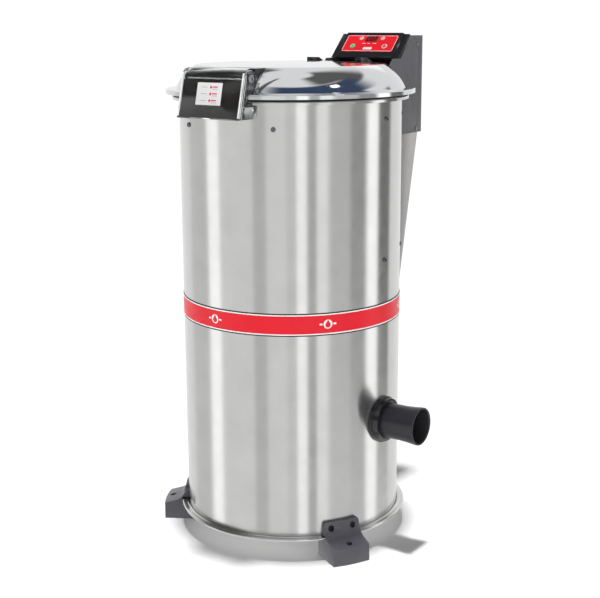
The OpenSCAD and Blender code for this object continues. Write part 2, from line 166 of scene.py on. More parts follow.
def arc(centre: Point, radius: float, start: float, end: float, steps: int) -> list[Point]:
    """List points of an arc.

    Args:
        centre: Centre of the arc.
        radius: Its radius.
        start: First angle in degrees, counted anticlockwise from +X.
        end: Last angle in degrees.
        steps: Number of straight steps.

    Returns:
        steps + 1 points.
    """
    angles = [math.radians(start + (end - start) * i / steps) for i in range(steps + 1)]
    return [(centre[0] + radius * math.cos(a), centre[1] + radius * math.sin(a)) for a in angles]


def rounded(
    points: Sequence[Point], radius: float, closed: bool = True, steps: int = 5
) -> list[Point]:
    """Round every corner of an outline.

    Args:
        points: The outline's corners.
        radius: Distance from a corner at which its rounding starts, at most.
        closed: Whether the last point joins the first.
        steps: Number of straight steps in each corner.

    Returns:
        The outline with its corners replaced by short curves.
    """
    count = len(points)
    result: list[Point] = []
    for i, point in enumerate(points):
        if not closed and i in (0, count - 1):
            result.append(point)
            continue
        here = Vector(point)
        before = Vector(points[i - 1]) - here
        after = Vector(points[(i + 1) % count]) - here
        reach = min(radius, 0.45 * before.length, 0.45 * after.length)
        start = here + before.normalized() * reach
        end = here + after.normalized() * reach
        for step in range(steps + 1):
            t = step / steps
            spot = (1 - t) ** 2 * start + 2 * t * (1 - t) * here + t * t * end
            result.append((spot.x, spot.y))
    return result


def new_object(name: str, vertices: Sequence, faces: Sequence, edges: Sequence = ()) -> Piece:
    """Make a mesh object in the scene.

    Args:
        name: The object's name.
        vertices: Places of its vertices.
        faces: Vertex numbers of its faces.
        edges: Vertex numbers of its loose edges.

    Returns:
        The object, at the origin.
    """
    mesh = bpy.data.meshes.new(name)
    mesh.from_pydata([tuple(v) for v in vertices], list(edges), list(faces))
    mesh.update()
    obj = bpy.data.objects.new(name, mesh)
    bpy.context.scene.collection.objects.link(obj)
    return obj


def add_modifier(obj: Piece, kind: str, **settings: object) -> bpy.types.Modifier:
    """Add a modifier with its settings.

    Args:
        obj: The object that takes it.
        kind: The modifier's type name.
        settings: Attributes of the modifier.

    Returns:
        The new modifier.
    """
    modifier = obj.modifiers.new(kind.title(), kind)
    for name, value in settings.items():
        setattr(modifier, name, value)
    return modifier


def smooth(mesh: bpy.types.Mesh) -> None:
    """Shade a mesh smooth, apart from its sharp edges."""
    mesh.shade_smooth()
    mesh.set_sharp_from_angle(angle=SMOOTH_ANGLE)


def settle(obj: Piece) -> Piece:
    """Replace an object's mesh with its evaluated one, smooth by angle, and drop its modifiers.

    Args:
        obj: The object, with any modifiers.

    Returns:
        The same object.
    """
    depsgraph = bpy.context.evaluated_depsgraph_get()
    depsgraph.update()
    mesh = bpy.data.meshes.new_from_object(obj.evaluated_get(depsgraph), depsgraph=depsgraph)
    obj.modifiers.clear()
    spent = obj.data
    obj.data = mesh
    bpy.data.meshes.remove(spent)
    mesh.name = obj.name
    smooth(mesh)
    return obj


def discard(obj: Piece) -> None:
    """Remove a helper object and its mesh."""
    mesh = obj.data
    bpy.data.objects.remove(obj)
    bpy.data.meshes.remove(mesh)


def cut(obj: Piece, cutter: Piece) -> Piece:
    """Take a cutter's volume out of an object, then discard the cutter.

    Args:
        obj: The object to cut.
        cutter: A closed mesh.

    Returns:
        The cut object.
    """
    add_modifier(obj, "BOOLEAN", operation="DIFFERENCE", object=cutter, solver="EXACT")
    settle(obj)
    discard(cutter)
    return obj


def cylinder(name: str, radius: float, start: Vector, end: Vector, sides: int) -> Piece:
    """Make a closed cylinder between two points, as a cutter or a plug.

    Args:
        name: The object's name.
        radius: Its radius.
        start: Centre of one end.
        end: Centre of the other.
        sides: Number of sides.

    Returns:
        The cylinder.
    """
    obj = new_object(name, [], [])
    axis = end - start
    turn = axis.to_track_quat("Z", "Y").to_matrix().to_4x4()
    place = Matrix.Translation((start + end) / 2) @ turn
    work = bmesh.new()
    bmesh.ops.create_cone(work, cap_ends=True, segments=sides, radius1=radius, radius2=radius,
                          depth=axis.length, matrix=place)
    work.to_mesh(obj.data)
    work.free()
    return obj


def welded(node: str) -> bmesh.types.BMesh:
    """Copy a frame solid's loose triangles as one mesh, with its doubles merged.

    Args:
        node: The frame node to copy.

    Returns:
        The mesh, which the caller frees.
    """
    work = bmesh.new()
    work.from_mesh(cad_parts[node].data)
    bmesh.ops.remove_doubles(work, verts=work.verts, dist=WELD)
    return work


def box_middle(node: str) -> Vector:
    """Give the centre of a frame node's box."""
    low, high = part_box(node)
    return (low + high) / 2


def rectangle(x: float, y: float, half_wide: float, half_high: float) -> list[Point]:
    """Give a rectangle's corners, anticlockwise, from its centre and half sizes."""
    return [(x - half_wide, y - half_high), (x + half_wide, y - half_high),
            (x + half_wide, y + half_high), (x - half_wide, y + half_high)]


def softened(node: str, name: str, width: float, segments: int) -> Piece:
    """Copy a frame solid as clean flat faces and round its edges.

    Args:
        node: The frame node to copy.
        name: The new object's name.
        width: Width of the rounding.
        segments: Number of faces across the rounding.

    Returns:
        The rounded piece.
    """
    obj = new_object(name, [], [])
    work = welded(node)
    bmesh.ops.dissolve_limit(work, angle_limit=FLAT_ANGLE, verts=work.verts, edges=work.edges)
    work.to_mesh(obj.data)
    work.free()
    add_modifier(obj, "BEVEL", width=width, segments=segments, limit_method="ANGLE",
                 angle_limit=BEVEL_ANGLE, use_clamp_overlap=True, miter_outer="MITER_ARC")
    return settle(obj)


def solids(node: str) -> list[tuple[Vector, Vector]]:
    """Give the box of each separate solid of a frame node.

    Args:
        node: The frame node.

    Returns:
        Lowest and highest corner of each solid.
    """
    work = welded(node)
    left = set(work.verts)
    boxes = []
    while left:
        group, queue = [], [left.pop()]
        while queue:
            vertex = queue.pop()
            group.append(vertex.co.copy())
            for edge in vertex.link_edges:
                other = edge.other_vert(vertex)
                if other in left:
                    left.remove(other)
                    queue.append(other)
        low = Vector([min(co[k] for co in group) for k in range(3)])
        high = Vector([max(co[k] for co in group) for k in range(3)])
        boxes.append((low, high))
    work.free()
    return sorted(boxes, key=lambda box: tuple(box[0] + box[1]))


def side_spots(node: str, inset: float) -> list[tuple[Vector, Vector]]:
    """Find the seats of screws that go in from the left and right sides.

    Args:
        node: The frame node of the screws.
        inset: Distance of a seat inwards from its screw's outer end.

    Returns:
        Each seat, and the direction that its head faces.
    """
    spots = []
    for low, high in solids(node):
        centre = (low + high) / 2
        side = 1.0 if centre.x > 0 else -1.0
        edge = high.x if side > 0 else low.x
        spots.append((Vector((edge - side * inset, centre.y, centre.z)), Vector((side, 0, 0))))
    return spots


def strip(
    name: str, shape: Sequence[tuple[float, float, float]], matrix: Matrix, thick: float,
    wrap: float = 0.0,
) -> Piece:
    """Make a thin printed or stuck-on shape from columns.

    Args:
        name: The object's name.
        shape: Columns of the shape as (x, lower y, upper y).
        matrix: Place of the shape's plane: X and Y in it, Z out of it.
        thick: Thickness outwards.
        wrap: Radius of the upright cylinder that the shape is wrapped on, or 0 for none.

    Returns:
        The shape as a closed mesh.
    """
    def place(x: float, y: float) -> Vector:
        """Put a point of the plane, bent round the cylinder if there is one."""
        if wrap:
            return matrix @ Vector((wrap * math.sin(x / wrap), y, wrap * (math.cos(x / wrap) - 1)))
        return matrix @ Vector((x, y, 0))

    vertices = [place(x, y) for x, low, high in shape for y in (low, high)]
    faces = [(2 * i, 2 * i + 2, 2 * i + 3, 2 * i + 1) for i in range(len(shape) - 1)]
    obj = new_object(name, vertices, faces)
    add_modifier(obj, "SOLIDIFY", thickness=thick, offset=1.0)
    return settle(obj)


def disc_columns(radius: float, x: float = 0.0, y: float = 0.0, count: int = 24) -> list:
    """Give the columns of a round shape for strip().

    Args:
        radius: Radius of the disc.
        x: Its centre across.
        y: Its centre up.
        count: Number of columns.

    Returns:
        Columns as (x, lower y, upper y).
    """
    result = []
    for i in range(count + 1):
        a = math.pi * (1 - i / count)
        half = radius * max(math.sin(a), 0.02)
        result.append((x + radius * math.cos(a), y - half, y + half))
    return result


def join(name: str, parts: Sequence[Piece]) -> Piece:
    """Join several plain meshes into one object.

    Args:
        name: The joined object's name.
        parts: The objects to join, which are discarded.

    Returns:
        The joined object.
    """
    obj = new_object(name, [], [])
    work = bmesh.new()
    for part in parts:
        work.from_mesh(part.data)
        discard(part)
    work.to_mesh(obj.data)
    work.free()
    smooth(obj.data)
    return obj


# ---- finishes ------------------------------------------------------------------------------


@dataclass(frozen=True)
class Finish:
    """A surface: its colour, gloss and the detail that its subclasses add."""

    name: str
    colour: str
    roughness: float
    metallic: float = 0.0
    mottle: float = 0.06
    mottle_mm: float = 60.0
    grain_mm: float = 1.2
    grain_depth_mm: float = 0.02

    def material(self) -> Material:
        """Build the finish's material.

        Returns:
            A material with a Principled shader and procedural detail.
        """
        material = bpy.data.materials.new(self.name)
        material.use_nodes = True
        tree = material.node_tree
        shader = tree.nodes["Principled BSDF"]
        shader.inputs["Metallic"].default_value = self.metallic
        shader.inputs["Roughness"].default_value = self.roughness
        place = add_node(tree, "ShaderNodeTexCoord").outputs["Object"]
        self.settings(shader)
        self.paint(tree, shader, place)
        self.relief(tree, shader, place)
        return material

    def settings(self, shader: Node) -> None:
        """Set the shader's own numbers. The plain finish keeps the usual ones."""

    def noise(
        self, tree: Tree, place: Socket, size_mm: float,
        stretch: tuple[float, float, float] = (1.0, 1.0, 1.0), detail: float = 3.0,
    ) -> Socket:
        """Add noise whose features have a real size.

        Args:
            tree: The material's tree.
            place: The coordinates it reads.
            size_mm: Size of one feature in millimetres.
            stretch: Factors on X, Y and Z, under 1 where the features are long.
            detail: Number of finer layers.

        Returns:
            The noise's value from 0 to 1.
        """
        scale = [s / (size_mm * MM) for s in stretch]
        mapping = add_node(tree, "ShaderNodeMapping", {"Vector": place, "Scale": scale})
        texture = add_node(tree, "ShaderNodeTexNoise",
                           {"Vector": mapping.outputs[0], "Scale": 1.0, "Detail": detail})
        return texture.outputs[0]

    def spread(self, tree: Tree, value: Socket, low: float, high: float) -> Socket:
        """Map noise to a range that it fills.

        Args:
            tree: The material's tree.
            value: Noise from 0 to 1.
            low: Result where the noise is low.
            high: Result where it is high.

        Returns:
            The mapped value.
        """
        node = add_node(tree, "ShaderNodeMapRange",
                        {"Value": value, "From Min": 0.3, "From Max": 0.7,
                         "To Min": low, "To Max": high})
        return node.outputs[0]

    def paint(self, tree: Tree, shader: Node, place: Socket) -> None:
        """Vary the colour and the gloss in soft patches.

        Args:
            tree: The material's tree.
            shader: Its Principled shader.
            place: Object coordinates.
        """
        patches = self.noise(tree, place, self.mottle_mm)
        shade = self.spread(tree, patches, 1.0 - self.mottle, 1.0 + self.mottle)
        tone = add_node(tree, "ShaderNodeHueSaturation",
                        {"Value": shade, "Color": linear(self.colour)})
        tree.links.new(tone.outputs[0], shader.inputs["Base Color"])
        gloss = self.spread(tree, self.noise(tree, place, 0.4 * self.mottle_mm),
                            0.88 * self.roughness, min(1.0, 1.12 * self.roughness))
        tree.links.new(gloss, shader.inputs["Roughness"])

    def relief(self, tree: Tree, shader: Node, place: Socket) -> None:
        """Add the fine surface grain as bump.

        Args:
            tree: The material's tree.
            shader: Its Principled shader.
            place: Object coordinates.
        """
        grain = self.noise(tree, place, self.grain_mm, detail=2.0)
        bump = add_node(tree, "ShaderNodeBump",
                        {"Height": grain, "Strength": 1.0, "Distance": self.grain_depth_mm * MM})
        tree.links.new(bump.outputs[0], shader.inputs["Normal"])


@dataclass(frozen=True)
class BrushedSteel(Finish):
    """Stainless sheet, belt-brushed round the drum: highlights stretch up and down."""

    metallic: float = 1.0
    mottle: float = 0.035
    anisotropy: float = 0.9
    brush_mm: float = 2.4
    brush_depth_mm: float = 0.001
    ripple_mm: float = 40.0
    ripple_depth_mm: float = 0.02

    def settings(self, shader: Node) -> None:
        """Stretch the highlight across the brushing."""
        shader.inputs["Anisotropic"].default_value = self.anisotropy
        shader.inputs["Anisotropic Rotation"].default_value = 0.25

    def relief(self, tree: Tree, shader: Node, place: Socket) -> None:
        """Add brush lines round the axis, and upright ripples left by rolling the sheet.

        Args:
            tree: The material's tree.
            shader: Its Principled shader.
            place: Object coordinates.
        """
        tangent = add_node(tree, "ShaderNodeTangent", direction_type="RADIAL", axis="Z")
        tree.links.new(tangent.outputs[0], shader.inputs["Tangent"])
        # Real brush lines are 0.1 mm apart; these are drawn as coarse as they need to show.
        lines = self.noise(tree, place, self.brush_mm, (0.02, 0.02, 1.0), 2.0)
        ripples = self.noise(tree, place, self.ripple_mm, (1.0, 1.0, 0.03), 1.0)
        fine = add_node(tree, "ShaderNodeBump",
                        {"Height": lines, "Strength": 1.0, "Distance": self.brush_depth_mm * MM})
        wide = add_node(tree, "ShaderNodeBump",
                        {"Height": ripples, "Strength": 1.0, "Distance": self.ripple_depth_mm * MM,
                         "Normal": fine.outputs[0]})
        tree.links.new(wide.outputs[0], shader.inputs["Normal"])


@dataclass(frozen=True)
class PolishedSteel(Finish):
    """Pressed and polished stainless: a mirror with a trace of the press in it."""

    metallic: float = 1.0
    mottle: float = 0.02
    mottle_mm: float = 90.0
    grain_mm: float = 45.0
    grain_depth_mm: float = 0.03


@dataclass(frozen=True)
class Moulded(Finish):
    """Injection-moulded plastic or rubber with the spark-eroded grain of its tool."""

    specular: float = 0.5
    coat: float = 0.0

    def settings(self, shader: Node) -> None:
        """Set the plastic's reflection and any lacquer on it."""
        shader.inputs["IOR"].default_value = 1.5
        shader.inputs["Specular IOR Level"].default_value = self.specular
        shader.inputs["Coat Weight"].default_value = self.coat
        shader.inputs["Coat Roughness"].default_value = 0.08


@dataclass(frozen=True)
class Clear(Finish):
    """Clear acrylic with a faint ripple in its polish."""

    def settings(self, shader: Node) -> None:
        """Let light through the plastic."""
        shader.inputs["IOR"].default_value = 1.49
        shader.inputs["Transmission Weight"].default_value = 1.0


@dataclass(frozen=True)
class Glowing(Finish):
    """A lamp window or segment that gives off a little light of its own."""

    glow: float = 0.4

    def settings(self, shader: Node) -> None:
        """Light the surface with its own colour."""
        shader.inputs["Emission Color"].default_value = linear(self.colour)
        shader.inputs["Emission Strength"].default_value = self.glow


FINISHES: dict[Slot, Finish] = {
    # 304 stainless, brushed round the drum: soft upright bands of light.
    Slot.DRUM_STEEL: BrushedSteel("brushed_stainless", "#cdcdcc", 0.2),
    # 304 stainless, pressed and buffed: sharp reflections.
    Slot.LID_STEEL: PolishedSteel("polished_stainless", "#d8d9da", 0.07),
    # 430 stainless, mill finish: duller and slightly warmer.
    Slot.INNER_STEEL: BrushedSteel("mill_stainless", "#bdbcba", 0.34, anisotropy=0.4),
    # Zinc-plated steel: grey with a faint blue cast.
    Slot.ZINC_STEEL: Finish("zinc_plated_steel", "#a9adb2", 0.32, 1.0, grain_depth_mm=0.004),
    # Ground shaft steel: fine and bright.
    Slot.SHAFT_STEEL: Finish("ground_steel", "#c2c4c6", 0.2, 1.0, grain_depth_mm=0.002),
    # Laminated rotor steel with varnish: dull brown-grey.
    Slot.ROTOR_STEEL: Finish("varnished_laminations", "#6f6660", 0.45, 0.7),
    # Sand-cast aluminium: matt with a sandy skin.
    Slot.CAST_ALUMINIUM: Finish("cast_aluminium", "#b0b3b5", 0.5, 1.0, grain_depth_mm=0.06),
    # Stove enamel on the motor: grey-blue, half gloss.
    Slot.MOTOR_PAINT: Moulded("motor_enamel", "#4d5a66", 0.4),
    # Epoxy powder coat: dark grey with a fine orange peel.
    Slot.COLUMN_PAINT: Moulded("powder_coat", "#5b5b5f", 0.42, grain_mm=1.6, grain_depth_mm=0.03),
    # Screen-printed vinyl: even, glossy red.
    Slot.RED_TRIM: Moulded("printed_vinyl_red", "#de2330", 0.35, mottle=0.02, specular=0.3),
    # Back-printed polyester film: red under a fine satin grain.
    Slot.MEMBRANE_RED: Moulded("printed_polyester", "#ec1f2c", 0.38, mottle=0.03,
                               grain_mm=0.5, grain_depth_mm=0.006),
    # ABS, moulded black: satin.
    Slot.BLACK_PLASTIC: Moulded("black_abs", "#151417", 0.24, mottle=0.1, coat=0.3),
    # Glass-filled nylon: dark grey and satin.
    Slot.FOOT_PLASTIC: Moulded("glass_filled_nylon", "#4c4b51", 0.32, mottle=0.12,
                               grain_depth_mm=0.05),
    # EPDM rubber, moulded: near black with a soft sheen.
    Slot.SPOUT_RUBBER: Moulded("moulded_epdm", "#222126", 0.36, mottle=0.15, grain_depth_mm=0.03),
    # Extruded seal rubber: black and dull.
    Slot.SEAL_RUBBER: Moulded("extruded_rubber", "#19181a", 0.6, mottle=0.12),
    # Black enamel on the lid's straps.
    Slot.STRAP_PAINT: Moulded("black_enamel", "#161619", 0.3, coat=0.3),
    # Sintered bronze: warm brown metal.
    Slot.BRONZE_WASHER: Finish("sintered_bronze", "#9a7b3c", 0.4, 1.0),
    # Cast acrylic: clear and glossy.
    Slot.CLEAR_COVER: Clear("clear_acrylic", "#f4f7f7", 0.03, grain_depth_mm=0.002),
    # Satin polyester label stock.
    Slot.LABEL_WHITE: Moulded("label_film", "#e8e7e7", 0.45, mottle=0.02, grain_depth_mm=0.003),
    # Tinted acrylic over the lamp digits.
    Slot.DISPLAY_RED: Moulded("tinted_acrylic", "#5c0d14", 0.12, coat=0.6, grain_depth_mm=0.002),
    # Glass-epoxy laminate with solder mask.
    Slot.BOARD_GREEN: Moulded("epoxy_laminate", "#1f6b3a", 0.35),
    # Domed key tops: pale pink.
    Slot.KEY_LIGHT: Moulded("key_cap_white", "#eec4c0", 0.35, mottle=0.03),
    # Start key: muted green.
    Slot.KEY_GREEN: Moulded("key_cap_green", "#5cab6c", 0.35, mottle=0.03),
}

# Inks and lamps that share a slot with the piece they are on.
INK_WHITE = Moulded("ink_white", "#f3f1f1", 0.4, mottle=0.02)
INK_BLACK = Moulded("ink_black", "#18181a", 0.4, mottle=0.05)
INK_RED = Moulded("ink_red", "#df2a55", 0.4, mottle=0.04)
INK_GREY = Moulded("ink_grey", "#b9b6bb", 0.45, mottle=0.05)
LAMP_RED = Glowing("lamp_segment_red", "#b0242c", 0.4, glow=0.25)
# Painted shade: near-black steel for the foot screws, so that they read as the dark recesses they
# sit in.
RECESS_SHADE_SCREW = Finish("black_oxide_steel", "#2a2a2c", 0.35, 0.8)
PANEL_BLACK = Moulded("painted_panel_black", "#211c19", 0.5, specular=0.15)
# Painted shade: a darker steel for the drum's screw heads, for the dark reflections and shadow that
# they catch.
PAINTED_SHADE_SCREW = Finish("passivated_screw", "#707378", 0.3, 1.0, grain_depth_mm=0.004)
# Painted highlight: white strips on the clear flap's edges, standing in for the light that its cut
# edges catch.
PAINTED_EDGE_HIGHLIGHT = Moulded("cut_acrylic_edge", "#f3f5f6", 0.25, mottle=0.15, mottle_mm=14.0)
PALE_FLOOR = Finish("painted_floor", "#f6f6f6", 0.6, mottle=0.008, mottle_mm=900.0)


class Palette:
    """Builds each finish's material once."""

    def __init__(self) -> None:
        """Start with no material built."""
        self.built: dict[str, Material] = {}

    def of(self, finish: Finish) -> Material:
        """Give a finish's material.

        Args:
            finish: The finish.

        Returns:
            Its material, built at the first call.
        """
        if finish.name not in self.built:
            self.built[finish.name] = finish.material()
        return self.built[finish.name]

    def slot(self, slot: Slot) -> Material:
        """Give the material of a record slot."""
        return self.of(FINISHES[slot])


# ---- geometry node tools -------------------------------------------------------------------


class NodeTool:
    """A Geometry Nodes tree with named inputs, used through a modifier."""

    name = "tool"
    inputs: tuple[tuple[str, str], ...] = ()

    def __init__(self) -> None:
        """Build the tree with its inputs and output."""
        self.tree = bpy.data.node_groups.new(self.name, "GeometryNodeTree")
        face = self.tree.interface
        face.new_socket("Geometry", in_out="INPUT", socket_type="NodeSocketGeometry")
        self.socket = {
            name: face.new_socket(name, in_out="INPUT", socket_type=kind).identifier
            for name, kind in self.inputs
        }
        face.new_socket("Geometry", in_out="OUTPUT", socket_type="NodeSocketGeometry")
        given = add_node(self.tree, "NodeGroupInput").outputs
        made = self.build(given)
        real = add_node(self.tree, "GeometryNodeRealizeInstances", {"Geometry": made})
        painted = add_node(self.tree, "GeometryNodeSetMaterial",
                           {"Geometry": real.outputs[0], "Material": given["Material"]})
        add_node(self.tree, "NodeGroupOutput", {0: painted.outputs[0]})

    def build(self, given: Outputs) -> Socket:
        """Build the tree's own nodes. Each tool gives its own."""
        return given["Geometry"]

    def coil(
        self, sheet: Socket, radius: Socket, turn: Socket, height: Socket, weld: float
    ) -> Socket:
        """Bend a flat sheet round the upright axis and close its seam.

        Args:
            sheet: The flat mesh.
            radius: Each point's distance from the axis.
            turn: Its share of a whole turn.
            height: Its height.
            weld: Distance within which points are merged.

        Returns:
            The closed mesh.
        """
        angle = add_node(self.tree, "ShaderNodeMath", {0: turn, 1: 2 * math.pi},
                         operation="MULTIPLY").outputs[0]
        across, along = (
            add_node(self.tree, "ShaderNodeMath", {
                0: radius,
                1: add_node(self.tree, "ShaderNodeMath", {0: angle}, operation=way).outputs[0],
            }, operation="MULTIPLY").outputs[0]
            for way in ("COSINE", "SINE")
        )
        place = add_node(self.tree, "ShaderNodeCombineXYZ", {0: across, 1: along, 2: height})
        bent = add_node(self.tree, "GeometryNodeSetPosition",
                        {"Geometry": sheet, "Position": place.outputs[0]})
        merged = add_node(self.tree, "GeometryNodeMergeByDistance",
                          {"Geometry": bent.outputs[0], "Distance": weld})
        return merged.outputs[0]

    def apply(self, obj: Piece, **values: object) -> Piece:
        """Run the tree on an object and keep the plain result.

        Args:
            obj: The object whose mesh is the tree's input.
            values: The named inputs, with spaces written as underscores.

        Returns:
            The same object.
        """
        modifier = obj.modifiers.new(self.name, "NODES")
        modifier.node_group = self.tree
        for name, value in values.items():
            modifier[self.socket[name.replace("_", " ")]] = value
        return settle(obj)


class Turn(NodeTool):
    """Turns a profile of (radius, height) points about the upright axis."""

    name = "turn_profile"
    inputs = (("Segments", "NodeSocketInt"), ("Material", "NodeSocketMaterial"))

    def build(self, given: Outputs) -> Socket:
        """Bend a grid so that its rows follow the profile and its columns go round.

        Args:
            given: The tree's inputs.

        Returns:
            The turned mesh.
        """
        tree = self.tree
        size = add_node(tree, "GeometryNodeAttributeDomainSize", {"Geometry": given["Geometry"]})
        rows = size.outputs["Point Count"]
        columns = add_node(tree, "ShaderNodeMath", {0: given["Segments"], 1: 1.0})
        grid = add_node(tree, "GeometryNodeMeshGrid",
                        {"Size X": 1.0, "Size Y": 1.0, "Vertices X": columns.outputs[0],
                         "Vertices Y": rows})
        spot = add_node(tree, "ShaderNodeSeparateXYZ",
                        {0: add_node(tree, "GeometryNodeInputPosition").outputs[0]})
        last = add_node(tree, "ShaderNodeMath", {0: rows, 1: 1.0}, operation="SUBTRACT")
        upward = add_node(tree, "ShaderNodeMath", {0: spot.outputs[1], 1: 0.5})
        row = add_node(tree, "ShaderNodeMath", {0: upward.outputs[0], 1: last.outputs[0]},
                       operation="MULTIPLY")
        number = add_node(tree, "ShaderNodeMath", {0: row.outputs[0]}, operation="ROUND")
        sample = add_node(tree, "GeometryNodeSampleIndex",
                          {"Geometry": given["Geometry"],
                           "Value": add_node(tree, "GeometryNodeInputPosition").outputs[0],
                           "Index": number.outputs[0]}, data_type="FLOAT_VECTOR")
        profile = add_node(tree, "ShaderNodeSeparateXYZ", {0: sample.outputs[0]})
        return self.coil(grid.outputs[0], profile.outputs[0], spot.outputs[0],
                         profile.outputs[2], WELD)

    def make(
        self, name: str, profile: Sequence[Point], material: Material,
        closed: bool = True, segments: int = TURN_STEPS,
    ) -> Piece:
        """Turn a profile into a piece. Outer walls run upwards, so that faces point outwards.

        Args:
            name: The piece's name.
            profile: Points as (radius, height), anticlockwise.
            material: Its material.
            closed: Whether the profile's last point joins its first.
            segments: Number of steps round the axis.

        Returns:
            The turned piece.
        """
        points = [*profile, profile[0]] if closed else list(profile)
        vertices = [(r, 0.0, z) for r, z in points]
        edges = [(i, i + 1) for i in range(len(points) - 1)]
        obj = new_object(name, vertices, [], edges)
        return self.apply(obj, Segments=segments, Material=material)


class SetOut(NodeTool):
    """Puts a copy of a small piece at each point, turned to face the point's own way."""

    name = "set_out_pieces"
    inputs = (("Piece", "NodeSocketObject"), ("Material", "NodeSocketMaterial"))

    def build(self, given: Outputs) -> Socket:
        """Place instances on the points.

        Args:
            given: The tree's inputs.

        Returns:
            The instances.
        """
        tree = self.tree
        piece = add_node(tree, "GeometryNodeObjectInfo", {"Object": given["Piece"]})
        facing = add_node(tree, "GeometryNodeInputNamedAttribute", {"Name": "facing"},
                          data_type="FLOAT_VECTOR")
        turn = add_node(tree, "FunctionNodeAlignRotationToVector",
                        {"Vector": facing.outputs[0]}, axis="Z")
        placed = add_node(tree, "GeometryNodeInstanceOnPoints",
                          {"Points": given["Geometry"], "Instance": piece.outputs["Geometry"],
                           "Rotation": turn.outputs[0]})
        return placed.outputs[0]

    def make(self, name: str, spots: Spots, piece: Piece, material: Material) -> Piece:
        """Set a piece out at several places.

        Args:
            name: Name of the result.
            spots: Each place, and the direction that the piece's Z faces there.
            piece: The piece to copy, which is discarded.
            material: The result's material.

        Returns:
            All copies as one mesh.
        """
        obj = new_object(name, [spot for spot, _ in spots], [])
        attribute = obj.data.attributes.new("facing", "FLOAT_VECTOR", "POINT")
        for item, (_, facing) in zip(attribute.data, spots):
            item.vector = facing
        self.apply(obj, Piece=piece, Material=material)
        discard(piece)
        return obj


class Perforate(NodeTool):
    """Wraps rows of one perforated tile into an upright drum wall."""

    name = "perforated_wall"
    inputs = (("Radius", "NodeSocketFloat"), ("Low", "NodeSocketFloat"),
              ("High", "NodeSocketFloat"), ("Columns", "NodeSocketInt"),
              ("Rows", "NodeSocketInt"), ("Material", "NodeSocketMaterial"))

    def build(self, given: Outputs) -> Socket:
        """Lay the unit tile out on a grid of unit steps, then bend the sheet round.

        Args:
            given: The tree's inputs.

        Returns:
            The perforated wall.
        """
        tree = self.tree
        math_node = "ShaderNodeMath"
        wide = add_node(tree, math_node, {0: given["Columns"], 1: 1.0}, operation="SUBTRACT")
        tall = add_node(tree, math_node, {0: given["Rows"], 1: 1.0}, operation="SUBTRACT")
        grid = add_node(tree, "GeometryNodeMeshGrid",
                        {"Size X": wide.outputs[0], "Size Y": tall.outputs[0],
                         "Vertices X": given["Columns"], "Vertices Y": given["Rows"]})
        tiles = add_node(tree, "GeometryNodeInstanceOnPoints",
                         {"Points": grid.outputs[0], "Instance": given["Geometry"]})
        sheet = add_node(tree, "GeometryNodeRealizeInstances", {"Geometry": tiles.outputs[0]})
        spot = add_node(tree, "ShaderNodeSeparateXYZ",
                        {0: add_node(tree, "GeometryNodeInputPosition").outputs[0]})
        share = add_node(tree, math_node, {0: spot.outputs[0], 1: given["Columns"]},
                         operation="DIVIDE")
        height = add_node(tree, math_node, {0: spot.outputs[1], 1: given["Rows"]},
                          operation="DIVIDE")
        level = add_node(tree, "ShaderNodeMapRange",
                         {"Value": height.outputs[0], "From Min": -0.5, "From Max": 0.5,
                          "To Min": given["Low"], "To Max": given["High"]})
        return self.coil(sheet.outputs[0], given["Radius"], share.outputs[0],
                         level.outputs[0], 20 * WELD)


# ---- sub-assemblies ------------------------------------------------------------------------


